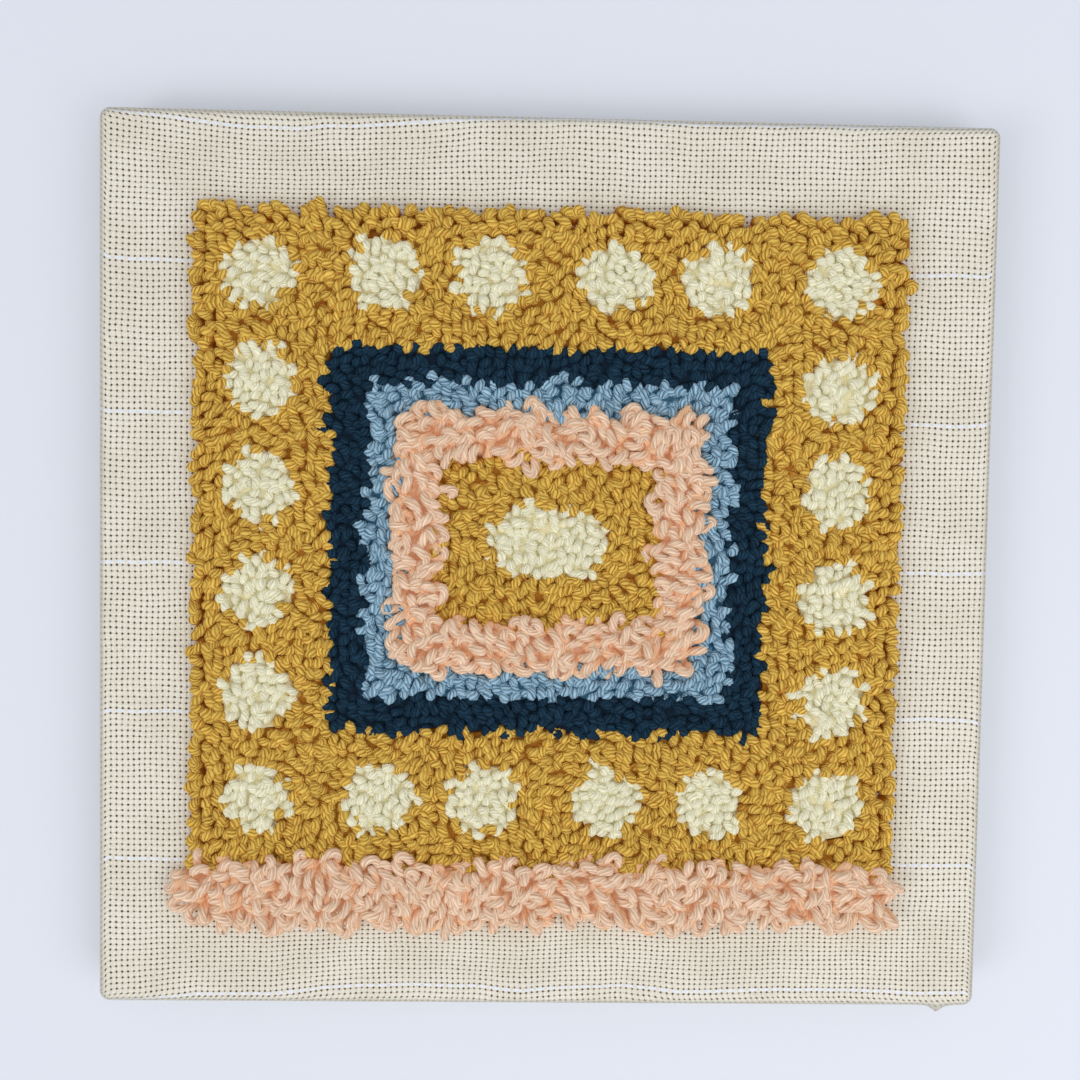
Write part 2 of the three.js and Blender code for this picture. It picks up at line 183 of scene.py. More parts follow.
class NodeGraph:
    """A material's nodes, with short ways to add the ones that the finishes use."""

    def __init__(self, name: str) -> None:
        """Starts a material with a plain shader.

        Args:
            name: The material's name.
        """
        self.material = bpy.data.materials.new(name)
        self.material.use_nodes = True
        self.nodes = self.material.node_tree.nodes
        self.shader = self.nodes["Principled BSDF"]

    def add(self, kind: str, **settings: Any) -> bpy.types.Node:
        """Adds a node.

        Args:
            kind: Its type name.
            **settings: Properties to set on it.

        Returns:
            The node.
        """
        node = self.nodes.new(kind)
        for key, value in settings.items():
            setattr(node, key, value)
        return node

    def feed(self, target: Socket, source: Source) -> None:
        """Links a socket into the target, or sets the target's own value.

        Args:
            target: The input socket.
            source: A socket, number or colour.
        """
        if isinstance(source, bpy.types.NodeSocket):
            self.material.node_tree.links.new(source, target)
        elif isinstance(source, tuple) and len(target.default_value) == 4:
            target.default_value = (*source, 1.0)
        else:
            target.default_value = source

    def split(self, vector: Socket) -> tuple[Socket, ...]:
        """Takes a vector apart.

        Args:
            vector: The vector.

        Returns:
            Its three numbers.
        """
        node = self.add("ShaderNodeSeparateXYZ")
        self.feed(node.inputs[0], vector)
        return tuple(node.outputs)

    def place(self, across: Source, along: Source) -> Socket:
        """Puts two numbers together as coordinates.

        Args:
            across: The first number.
            along: The second number.

        Returns:
            The coordinates.
        """
        node = self.add("ShaderNodeCombineXYZ")
        self.feed(node.inputs[0], across)
        self.feed(node.inputs[1], along)
        return node.outputs[0]

    def strand(self) -> Socket:
        """Gives a piece's own coordinates."""
        return self.add("ShaderNodeUVMap", uv_map="strand").outputs[0]

    def math(self, operation: str, first: Source, second: Source = 0.0, third: Source = 0.0) -> Socket:
        """Adds a sum.

        Args:
            operation: The sum's name.
            first: Its first number.
            second: Its second number.
            third: Its third number, where it takes one.

        Returns:
            The result.
        """
        node = self.add("ShaderNodeMath", operation=operation)
        for socket, source in zip(node.inputs, (first, second, third)):
            self.feed(socket, source)
        return node.outputs[0]

    def ramp(self, value: Source, low: float, high: float, start: float = 0.0, end: float = 1.0) -> Socket:
        """Rises smoothly from start to end as value goes from low to high.

        Args:
            value: The number that drives the rise.
            low: Where the rise starts.
            high: Where it ends.
            start: The result before the rise.
            end: The result after it.

        Returns:
            The result.
        """
        node = self.add("ShaderNodeMapRange", interpolation_type="SMOOTHSTEP")
        for socket, source in zip(node.inputs, (value, low, high, start, end)):
            self.feed(socket, source)
        return node.outputs[0]

    def mix(self, share: Source, first: Source, second: Source, blend: str = "MIX") -> Socket:
        """Mixes two colours.

        Args:
            share: How much of the second colour is taken.
            first: The first colour.
            second: The second colour.
            blend: The way that they are mixed.

        Returns:
            The mixed colour.
        """
        node = self.add("ShaderNodeMix", data_type="RGBA", blend_type=blend)
        self.feed(node.inputs[0], share)
        self.feed(node.inputs[6], first)
        self.feed(node.inputs[7], second)
        return node.outputs[2]

    def choose(self, share: Socket, first: Socket, second: Socket) -> Socket:
        """Takes the first number where share is 0 and the second where it is 1.

        Args:
            share: 0 or 1.
            first: The number for 0.
            second: The number for 1.

        Returns:
            The number taken.
        """
        node = self.add("ShaderNodeMix", data_type="FLOAT")
        self.feed(node.inputs[0], share)
        self.feed(node.inputs[2], first)
        self.feed(node.inputs[3], second)
        return node.outputs[0]

    def toned(self, colour: Source, tone: Socket) -> Socket:
        """Multiplies a colour by a number.

        Args:
            colour: The colour.
            tone: The number.

        Returns:
            The lighter or darker colour.
        """
        grey = self.add("ShaderNodeCombineColor")
        for socket in grey.inputs[:3]:
            self.feed(socket, tone)
        return self.mix(1.0, colour, grey.outputs[0], "MULTIPLY")

    def noise(self, place: Socket, scale: float, detail: float = 2.0, stretch: Triple = (1, 1, 1)) -> Socket:
        """Adds cloudy noise.

        Args:
            place: The coordinates that it is read at.
            scale: Its fineness.
            detail: How many finer layers it has.
            stretch: How much the coordinates are multiplied along each axis first.

        Returns:
            A number about 0.5.
        """
        mapping = self.add("ShaderNodeMapping")
        self.feed(mapping.inputs["Vector"], place)
        mapping.inputs["Scale"].default_value = stretch
        node = self.add("ShaderNodeTexNoise")
        self.feed(node.inputs["Vector"], mapping.outputs[0])
        node.inputs["Scale"].default_value = scale
        node.inputs["Detail"].default_value = detail
        return node.outputs[0]

    def bump(self, height: Socket, distance: float, strength: float) -> None:
        """Raises the shader's surface by a height.

        Args:
            height: Height from 0 to 1.
            distance: What a height of 1 measures, in metres.
            strength: How much of it shows.
        """
        node = self.add("ShaderNodeBump")
        node.inputs["Strength"].default_value = strength
        node.inputs["Distance"].default_value = distance
        self.feed(node.inputs["Height"], height)
        self.feed(self.shader.inputs["Normal"], node.outputs[0])

    def finish(self, colour: Source, **constants: Any) -> bpy.types.Material:
        """Sets the shader's colour and its constant values.

        Args:
            colour: The base colour.
            **constants: Values for the shader's sockets, with underscores for spaces.

        Returns:
            The material.
        """
        self.feed(self.shader.inputs["Base Color"], colour)
        for key, value in constants.items():
            self.shader.inputs[key.replace("_", " ")].default_value = value
        return self.material


@dataclass(frozen=True)
class YarnFinish:
    """Look of one plied yarn: its colours on top, deep between loops and between plies, and its twist.

    Each loop brings a chance number and a lit share, 0 deep in the pile and 1 on top, and the deep
    colour is painted shade that the yarn takes as its lit share falls. The grooves between plies take
    painted shade too. The pitch is the length of one turn of the twist, in millimetres, and the drift
    is how unevenly it turns. The crowding is how unevenly the plies lie side by side, the ridge is a
    painted highlight along the top of each ply, and the glow is emission in the gaps between loops,
    painted light that stands in for light soaking through the yarn. A rise or fall says where a
    smooth change starts and ends, and a fineness how fast a noise changes.
    """

    light: Colour
    # The deep colour and the one below it are painted shade: deep in the pile and in the grooves between
    # plies.
    deep: Colour
    groove_shade: Colour
    uneven: float = 0.16
    sheen: float = 0.1
    plies: int = 5
    pitch: float = 3.8
    drift: float = 0.16
    drift_along: float = 0.2
    drift_fineness: float = 1.3
    crowding: float = 0.8
    crowding_fineness: float = 0.9
    crest_rise: tuple[float, float] = (-1.3, 0.8)
    lit_rise: tuple[float, float] = (0.05, 0.85)
    relief: float = 0.18 * MM
    fibre_relief: float = 0.3
    fibre_along: float = 0.12
    fibre_fineness: float = 3.6
    fibre_tones: tuple[float, float] = (0.84, 1.13)
    groove_share: float = 0.9
    groove_fall: float = 0.95
    faint_groove: float = 0.45
    # Painted highlight along the top of each ply, and where it rises.
    ridge: float = 0.09
    ridge_rise: tuple[float, float] = (0.3, 1.0)
    # Painted light: emission in the gaps between loops, and how it fades towards the top of the pile.
    painted_glow: float = 0.0
    painted_glow_fall: float = 0.9
    turns_apart: float = 7.0
    noise_apart: float = 90.0
    roughness: float = 0.92
    specular: float = 0.1
    sheen_roughness: float = 0.45

    def material(self, name: str) -> bpy.types.Material:
        """Makes the yarn's material from the loops' own data.

        Args:
            name: The material's name.

        Returns:
            The material.
        """
        graph = NodeGraph(name)
        data = graph.add("ShaderNodeAttribute", attribute_name="yarn")
        parts = graph.add("ShaderNodeSeparateColor")
        graph.feed(parts.inputs[0], data.outputs["Color"])
        chance, lit = parts.outputs[0], parts.outputs[1]
        wave, fibres = self.plied(graph, chance)
        crest = graph.ramp(wave, *self.crest_rise)

        # Painted shade: the yarn is painted towards the deep colour where it lies deep between loops.
        shade = graph.mix(graph.ramp(lit, *self.lit_rise), self.deep, self.light)
        # Painted shade in the grooves between plies, weaker in places by the fibres' noise.
        faint = graph.ramp(fibres, *NOISE_CORE, 1.0, self.faint_groove)
        sunk = graph.math("MULTIPLY", graph.ramp(crest, 0.0, self.groove_fall, self.groove_share, 0.0), faint)
        shade = graph.mix(sunk, shade, graph.mix(lit, self.deep, self.groove_shade))
        tone = graph.math("MULTIPLY_ADD", chance, self.uneven, 1.0 - self.uneven / 2)
        tone = graph.math("MULTIPLY", tone, graph.ramp(fibres, *NOISE_SPAN, *self.fibre_tones))
        # Painted highlight: each ply is painted lighter along its top.
        ridge = graph.ramp(wave, *self.ridge_rise, 1.0 - self.ridge / 3, 1.0 + self.ridge)
        shade = graph.toned(shade, graph.math("MULTIPLY", tone, ridge))
        graph.bump(graph.math("MULTIPLY_ADD", fibres, self.fibre_relief, crest), self.relief, 1.0)
        # This emission is painted light: the deep colour shines in the gaps between loops, strongest deep in
        # the pile, standing in for light that soaks through the yarn.
        if self.painted_glow:
            painted_glow_strength = graph.ramp(lit, 0.0, self.painted_glow_fall, self.painted_glow, 0.0)
            graph.feed(graph.shader.inputs["Emission Color"], self.deep)
            graph.feed(graph.shader.inputs["Emission Strength"], painted_glow_strength)
            graph.material.cycles.emission_sampling = "NONE"
        return graph.finish(
            shade,
            Roughness=self.roughness,
            Specular_IOR_Level=self.specular,
            Sheen_Weight=self.sheen,
            Sheen_Roughness=self.sheen_roughness,
        )

    def plied(self, graph: NodeGraph, chance: Socket) -> tuple[Socket, Socket]:
        """Winds the plies round the strand, with fibres along them.

        Args:
            graph: The material's nodes.
            chance: A number that differs from loop to loop.

        Returns:
            A wave that is 1 on top of each ply and -1 between plies, and the fibres' noise.
        """
        around, along, _ = graph.split(graph.strand())
        turned = graph.math("MULTIPLY_ADD", along, 1.0 / self.pitch, around)
        turned = graph.math("ADD", turned, graph.math("MULTIPLY", chance, self.turns_apart))
        loose = graph.place(0.0, self.far_apart(graph, chance, along, self.drift_along))
        turned = graph.math("MULTIPLY_ADD", graph.noise(loose, self.drift_fineness, 1.0), self.drift, turned)
        across = graph.math("MULTIPLY", turned, float(self.plies))
        lay = graph.place(across, self.far_apart(graph, chance, along, self.fibre_along))
        fibres = graph.noise(lay, self.fibre_fineness, 2.0)
        crowded = graph.noise(lay, self.crowding_fineness, 1.0)
        across = graph.math("MULTIPLY_ADD", crowded, self.crowding, across)
        return graph.math("COSINE", graph.math("MULTIPLY", across, 2.0 * math.pi)), fibres

    def far_apart(self, graph: NodeGraph, chance: Socket, along: Socket, fineness: float) -> Socket:
        """Places the noise of one loop far from that of the others.

        Args:
            graph: The material's nodes.
            chance: The loop's chance number.
            along: Length along the strand.
            fineness: How fast the noise changes along it.

        Returns:
            Where to read the noise.
        """
        return graph.math("MULTIPLY_ADD", chance, self.noise_apart, graph.math("MULTIPLY", along, fineness))


@dataclass(frozen=True)
class ClothFinish:
    """Look of the even-weave cotton: pairs of threads, pin holes between them and white guide threads.

    The cloth's own coordinates are in millimetres along its two threads. Sizes without a unit are
    shares of the pitch of the thread pairs. Each thread is painted lighter on its rounded top and
    darker at its sides and in the gap of its pair, as painted highlight and painted shade, and the pin
    holes are painted dark as the shadow seen through them. Over a fold the holes close and the cloth
    is painted darker, as painted shade where it turns away from the light.
    A rise says where a smooth change starts and ends, and a fineness how fast a noise changes.
    """

    pitch: float = 50.8 / 26
    guide_spacing: float = 50.8
    guide_width: tuple[float, float] = (0.18, 0.34)
    dash: float = 0.36
    dash_blur: float = 0.04
    sway: float = 0.9
    sway_fineness: float = 0.11
    hole_size: tuple[float, float] = (0.12, 0.2)
    hole_fineness: float = 1.7
    hole_edge: tuple[float, float] = (0.65, 1.35)
    pair_gap: float = 0.1
    # Painted shade in the gap between the two threads of a pair.
    pair_gap_shade: float = 0.88
    length_fall: float = 0.45
    width_fall: float = 0.4
    dome_rise: tuple[float, float] = (0.18, 0.88)
    stain: float = 0.22
    stain_fineness: float = 0.09
    stain_rise: tuple[float, float] = (0.35, 0.7)
    speckle: tuple[float, float] = (0.9, 1.07)
    speckle_fineness: float = 3.0
    relief: float = 0.45 * MM
    relief_strength: float = 0.8
    thread: Colour = linear(243, 237, 222)
    shadow: Colour = linear(206, 193, 166)
    # Painted shadow: the dark colour put in the pin holes for the shade seen through them.
    hole: Colour = linear(74, 54, 38)
    guide: Colour = linear(240, 242, 247)
    # Painted shade over the fold, where the cloth turns away from the light.
    fold_shade_tone: float = 0.73
    fold_cover: float = 0.85
    fold_rise: tuple[float, float] = (0.78, 0.985)
    side_fold: float = 0.35
    side_rise: tuple[float, float] = (0.05, 0.35)
    roughness: float = 0.9
    specular: float = 0.15
    sheen: float = 0.12

    def material(self, name: str) -> bpy.types.Material:
        """Makes the weave from the cloth's own coordinates.

        Args:
            name: The material's name.

        Returns:
            The material.
        """
        graph = NodeGraph(name)
        strand = graph.strand()
        over, up, _ = graph.split(strand)
        scaled = graph.add("ShaderNodeVectorMath", operation="DIVIDE")
        graph.feed(scaled.inputs[0], strand)
        scaled.inputs[1].default_value = (self.pitch, self.pitch, 1.0)
        place = scaled.outputs[0]
        sway = graph.math("SUBTRACT", graph.noise(place, self.sway_fineness, 1.0), 0.5)
        sway = graph.math("MULTIPLY", sway, self.sway)
        across = graph.math("ADD", graph.math("DIVIDE", over, self.pitch), sway)
        along = graph.math("SUBTRACT", graph.math("DIVIDE", up, self.pitch), sway)
        column = graph.math("FLOOR", graph.math("ADD", across, 0.5))
        row = graph.math("FLOOR", graph.math("ADD", along, 0.5))
        odd = graph.math("FLOORED_MODULO", graph.math("ADD", column, row), 2.0)
        off_x = graph.math("ABSOLUTE", graph.math("SUBTRACT", across, column))
        off_y = graph.math("ABSOLUTE", graph.math("SUBTRACT", along, row))

        dome = self.dome(graph, odd, off_x, off_y)
        # Painted shade in the gap between the two threads of a pair.
        split = graph.ramp(graph.choose(odd, off_x, off_y), 0.0, self.pair_gap, self.pair_gap_shade, 1.0)
        fold = self.fold(graph)
        covered = graph.math("MULTIPLY", fold, self.fold_cover)
        solid = graph.math("MAXIMUM", self.around_holes(graph, place, off_x, off_y), covered)

        # Painted highlight and shade: each thread is painted lighter on its rounded top and towards the
        # shadow colour at its sides.
        light = graph.math("MULTIPLY", graph.ramp(dome, *self.dome_rise), split)
        shade = graph.mix(light, self.shadow, self.thread)
        blotches = graph.noise(place, self.stain_fineness, 2.0)
        stain = graph.ramp(blotches, *self.stain_rise, 0.0, self.stain)
        shade = graph.mix(stain, shade, self.shadow)
        shade = graph.mix(self.guides(graph, across, along, row), shade, self.guide)
        # Painted shadow: the pin holes take the dark hole colour.
        shade = graph.mix(solid, self.hole, shade)
        # Painted shade: the cloth is painted darker over the fold, where it turns away from the light.
        painted_fold_shade = graph.math("MULTIPLY_ADD", fold, self.fold_shade_tone - 1.0, 1.0)
        specks = graph.noise(place, self.speckle_fineness, 1.0)
        speckle = graph.ramp(specks, *NOISE_SPAN, *self.speckle)
        shade = graph.toned(shade, graph.math("MULTIPLY", painted_fold_shade, speckle))
        height = graph.math("MULTIPLY", graph.math("MULTIPLY", dome, split), solid)
        graph.bump(height, self.relief, self.relief_strength)
        return graph.finish(
            shade,
            Roughness=self.roughness,
            Specular_IOR_Level=self.specular,
            Sheen_Weight=self.sheen,
        )

    def dome(self, graph: NodeGraph, odd: Socket, off_x: Socket, off_y: Socket) -> Socket:
        """Rounds the thread pair that lies on top.

        Args:
            graph: The material's nodes.
            odd: 0 where one thread is on top and 1 where the other is.
            off_x: Distance from the middle of the crossing, along the first thread.
            off_y: Distance along the second thread.

        Returns:
            Its height, 1 in the middle.
        """
        warp, weft = (
            graph.math("POWER", graph.math("MULTIPLY", off, 2.0), 2.0) for off in (off_x, off_y)
        )
        width = graph.math("MULTIPLY", graph.choose(odd, warp, weft), self.width_fall)
        length = graph.choose(odd, weft, warp)
        return graph.math("SUBTRACT", 1.0, graph.math("MULTIPLY_ADD", length, self.length_fall, width))

    def around_holes(self, graph: NodeGraph, place: Socket, off_x: Socket, off_y: Socket) -> Socket:
        """Opens a pin hole between the crossings.

        Args:
            graph: The material's nodes.
            place: The coordinates in pitches.
            off_x: Distance from the middle of the crossing, along the first thread.
            off_y: Distance along the second thread.

        Returns:
            0 in a hole and 1 on the threads.
        """
        gap_x, gap_y = (graph.math("SUBTRACT", 0.5, off) for off in (off_x, off_y))
        square = graph.math("MULTIPLY_ADD", gap_x, gap_x, graph.math("MULTIPLY", gap_y, gap_y))
        size = graph.ramp(graph.noise(place, self.hole_fineness, 0.0), *NOISE_SPAN, *self.hole_size)
        return graph.ramp(graph.math("DIVIDE", graph.math("SQRT", square), size), *self.hole_edge)

    def fold(self, graph: NodeGraph) -> Socket:
        """Finds where the cloth bends over an edge, by the way that its surface faces.

        Args:
            graph: The material's nodes.

        Returns:
            0 on flat cloth, 1 over the edge, and less again down the sides.
        """
        _, _, upright = graph.split(graph.add("ShaderNodeNewGeometry").outputs["Normal"])
        flat = graph.math("ABSOLUTE", upright)
        bent = graph.ramp(flat, *self.fold_rise, 1.0, 0.0)
        return graph.math("MULTIPLY", bent, graph.ramp(flat, *self.side_rise, self.side_fold, 1.0))

    def guides(self, graph: NodeGraph, across: Socket, along: Socket, row: Socket) -> Socket:
        """Runs the dashed white guide threads along the cloth.

        Args:
            graph: The material's nodes.
            across: Place across the cloth, in pitches.
            along: Place along it.
            row: The row of crossings.

        Returns:
            1 on a guide thread and 0 off it.
        """
        away = graph.math("PINGPONG", graph.math("MULTIPLY", along, self.pitch), self.guide_spacing / 2)
        near, far = (share * self.pitch for share in self.guide_width)
        beat = graph.math("PINGPONG", graph.math("MULTIPLY", graph.math("ADD", across, row), 0.5), 0.5)
        dash = graph.ramp(beat, self.dash - self.dash_blur, self.dash + self.dash_blur, 1.0, 0.0)
        return graph.math("MULTIPLY", graph.ramp(away, near, far, 1.0, 0.0), dash)


@dataclass(frozen=True)
class PineFinish:
    """Look of the bare planed bars, with soft early wood, darker late wood and fine pores."""

    early: Colour = linear(226, 196, 148)
    late: Colour = linear(196, 152, 98)
    drawn_out: float = 0.06
    ring_fineness: float = 220.0
    ring_rise: tuple[float, float] = (0.4, 0.62)
    pore_fineness: float = 1500.0
    pore_stretch: float = 0.5
    pore_rise: tuple[float, float] = (0.58, 0.75)
    pore_share: float = 0.35
    relief: float = 0.1 * MM
    relief_strength: float = 0.3
    roughness: float = 0.62
    specular: float = 0.3

    def material(self, name: str, grain: Grain) -> bpy.types.Material:
        """Makes the wood, with its rings drawn out along the bar.

        Args:
            name: The material's name.
            grain: The way that the grain runs.

        Returns:
            The material.
        """
        graph = NodeGraph(name)
        place = graph.add("ShaderNodeTexCoord").outputs["Object"]
        drawn = (self.drawn_out, 1.0, 1.0) if grain is Grain.ALONG_X else (1.0, self.drawn_out, 1.0)
        rings = graph.noise(place, self.ring_fineness, 3.0, drawn)
        fine = tuple(self.pore_stretch * share for share in drawn)
        pores = graph.noise(place, self.pore_fineness, 2.0, fine)
        shade = graph.mix(graph.ramp(rings, *self.ring_rise), self.early, self.late)
        shade = graph.mix(graph.ramp(pores, *self.pore_rise, 0.0, self.pore_share), shade, self.late)
        graph.bump(pores, self.relief, self.relief_strength)
        return graph.finish(shade, Roughness=self.roughness, Specular_IOR_Level=self.specular)


@dataclass(frozen=True)
class FloorFinish:
    """Look of the pale surface under the piece."""

    pale: Colour = linear(232, 235, 243)
    roughness: float = 0.7
    specular: float = 0.1

    def material(self, name: str) -> bpy.types.Material:
        """Makes a plain matt surface.

        Args:
            name: The material's name.

        Returns:
            The material.
        """
        return NodeGraph(name).finish(self.pale, Roughness=self.roughness, Specular_IOR_Level=self.specular)


@dataclass(frozen=True)
class LoopShape:
    """Sizes of one yarn's loops, in metres, and how unevenly they stand.

    A loop spans some cloth at its feet and bulges above them. Its room is the cloth's area for each
    loop, and its bed is the share of the solid's height that is packed with yarn at the feet. The
    leans and the twist are in radians: a loop leans by chance, out over its patch's edge and out
    over the panel's rim. Its sections gather towards its top.
    """

    radius: float = 1.7 * MM
    span: float = 2.0 * MM
    bulge: float = 1.2 * MM
    height: float = 5.4 * MM
    room: float = 9.2 * MM * MM
    bed: float = 0.5
    lean_chance: float = 0.3
    lean_out: float = 0.12
    lean_rim: float = 0.35
    lean_limits: tuple[float, float] = (0.05, 1.9)
    twist: float = 0.4
    radius_spread: tuple[float, float] = (0.9, 1.08)
    span_spread: tuple[float, float] = (0.85, 1.2)
    height_spread: tuple[float, float] = (0.78, 1.12)
    roundness: float = 0.8
    foot: float = 0.16
    gather: float = 0.05
    steps: int = 10
    sides: int = 6


@dataclass(frozen=True)
class StitchShape:
    """Sizes of a flat stitch on the reverse, a low ridge, at its two ends and its middle.

    The section's three corners are shares across and down.
    """

    reach: tuple[float, ...] = (-2.5 * MM, 0.0, 2.5 * MM)
    width: tuple[float, ...] = (0.9 * MM, 1.6 * MM, 0.9 * MM)
    depth: tuple[float, ...] = (0.3 * MM, 1.0 * MM, 0.3 * MM)
    across: tuple[float, ...] = (0.0, -1.0, 1.0)
    down: tuple[float, ...] = (1.0, -0.1, -0.1)


YARN_FINISHES: dict[Yarn, YarnFinish] = {
    Yarn.MUSTARD: YarnFinish(
        linear(226, 188, 89), linear(146, 78, 11), linear(168, 98, 14),
        sheen=0.02, painted_glow=0.22,
    ),
    Yarn.CREAM: YarnFinish(
        linear(243, 238, 208), linear(229, 216, 167), linear(234, 227, 189),
        uneven=0.06, relief=0.16 * MM, ridge=0.05, painted_glow=0.28,
    ),
    Yarn.NAVY: YarnFinish(
        linear(28, 56, 75), linear(22, 33, 46), linear(17, 28, 40),
        uneven=0.3, sheen=0.0, painted_glow=0.7,
    ),
    Yarn.BLUE: YarnFinish(
        linear(162, 192, 210), linear(8, 80, 106), linear(24, 97, 127),
        sheen=0.0, painted_glow=0.16,
    ),
    Yarn.PEACH: YarnFinish(
        linear(244, 213, 185), linear(231, 184, 145), linear(235, 187, 147),
        uneven=0.08, plies=6, pitch=14.0, relief=0.22 * MM, ridge=0.08, painted_glow=0.18,
    ),
}

LOOP_SHAPES: dict[Yarn, LoopShape] = {
    Yarn.MUSTARD: LoopShape(),
    Yarn.CREAM: LoopShape(radius=1.62 * MM),
    Yarn.NAVY: LoopShape(),
    Yarn.BLUE: LoopShape(),
    Yarn.PEACH: LoopShape(
        radius=1.6 * MM,
        span=3.2 * MM,
        bulge=3.4 * MM,
        height=9.6 * MM,
        room=7.4 * MM * MM,
        bed=0.3,
        lean_chance=0.72,
        lean_out=0.45,
        lean_rim=0.9,
        steps=18,
    ),
}


@dataclass
class PanelMap:
    """Which patch of pile covers each point of the panel, read from the undersides of the solids.

    An edge is looked for in a number of ways all round a point, and the edge sum is the length of
    all ways that lie past a straight edge, added up.
    """

    nodes: list[str]
    step: float = 0.75 * MM
    margin: float = 12.0 * MM
    below: float = 0.1 * MM
    gap_rounds: int = 3
    rim_rounds: int = 6
    looks: int = 16
    edge_sum: float = 5.1
    low: Array = field(init=False)
    labels: Array = field(init=False)

    def __post_init__(self) -> None:
        """Samples every patch on a square raster and closes the thin gaps between them."""
        boxes = [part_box(node) for node in self.nodes]
        lows = np.array([low for low, _ in boxes])
        highs = np.array([high for _, high in boxes])
        self.low = lows.min(0)[:2] - self.margin
        counts = np.ceil((highs.max(0)[:2] + self.margin - self.low) / self.step).astype(int)
        self.labels = np.full(counts, -1)
        root = lows[:, 2].min()
        for index, node in enumerate(self.nodes):
            self.sample(index, node, lows[index], highs[index], root)
        for _ in range(self.gap_rounds):
            self.close_gaps()
        for _ in range(self.rim_rounds):
            self.draw_in()

    def sample(self, index: int, node: str, low: Array, high: Array, root: float) -> None:
        """Marks the raster cells under one patch.

        Args:
            index: The patch's number.
            node: Its solid's name.
            low: The solid's lowest corner.
            high: Its highest corner.
            root: The height of the patches' undersides.
        """
        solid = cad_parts[node]
        tree = BVHTree.FromObject(solid, bpy.context.evaluated_depsgraph_get())
        first = np.floor((low[:2] - self.low) / self.step).astype(int)
        last = np.ceil((high[:2] - self.low) / self.step).astype(int)
        for i in range(first[0], last[0]):
            for j in range(first[1], last[1]):
                x, y = self.low + (np.array((i, j)) + 0.5) * self.step
                hit = tree.ray_cast(Vector((x, y, root - MM)), UP)[0]
                if hit is not None and abs(hit.z - root) < self.below:
                    self.labels[i, j] = index

    def close_gaps(self) -> None:
        """Gives each unmarked cell beside a patch that patch's number."""
        for axis, way in NEIGHBOURS:
            beside = np.roll(self.labels, way, axis)
            self.labels = np.where(self.labels < 0, beside, self.labels)

    def draw_in(self) -> None:
        """Bares the cells along the panel's rim, where loops only lean out from their feet."""
        bare = self.labels < 0
        for axis, way in NEIGHBOURS:
            self.labels = np.where(np.roll(bare, way, axis), -1, self.labels)

    def cells(self, points: Array) -> Array:
        """Gives the raster cell that holds each point.

        Args:
            points: Points in plan, in rows.

        Returns:
            The cells' two numbers, in rows.
        """
        found = np.floor((points - self.low) / self.step).astype(int)
        return np.clip(found, 0, np.array(self.labels.shape) - 1)

    def at(self, points: Array) -> Array:
        """Gives the patch number at each point, or -1 on bare cloth.

        Args:
            points: Points in plan, in rows.

        Returns:
            The patch numbers.
        """
        found = self.cells(points)
        return self.labels[found[:, 0], found[:, 1]]

    def way_out(self, points: Array, own: Array, reach: float, bare: bool) -> Array:
        """Points from the middle of each patch to its nearest edge, zero well inside it.

        Args:
            points: Points in plan, in rows.
            own: The patch number at each point.
            reach: How far away an edge still counts.
            bare: Whether only the edge towards bare cloth counts.

        Returns:
            Vectors of about length 1 at a straight edge.
        """
        total = np.zeros_like(points)
        for angle in np.linspace(0.0, 2.0 * math.pi, self.looks, endpoint=False):
            way = np.array((math.cos(angle), math.sin(angle)))
            seen = self.at(points + way * reach)
            outside = (seen < 0) if bare else (seen != own)
            total += outside[:, None] * way / self.edge_sum
        return total


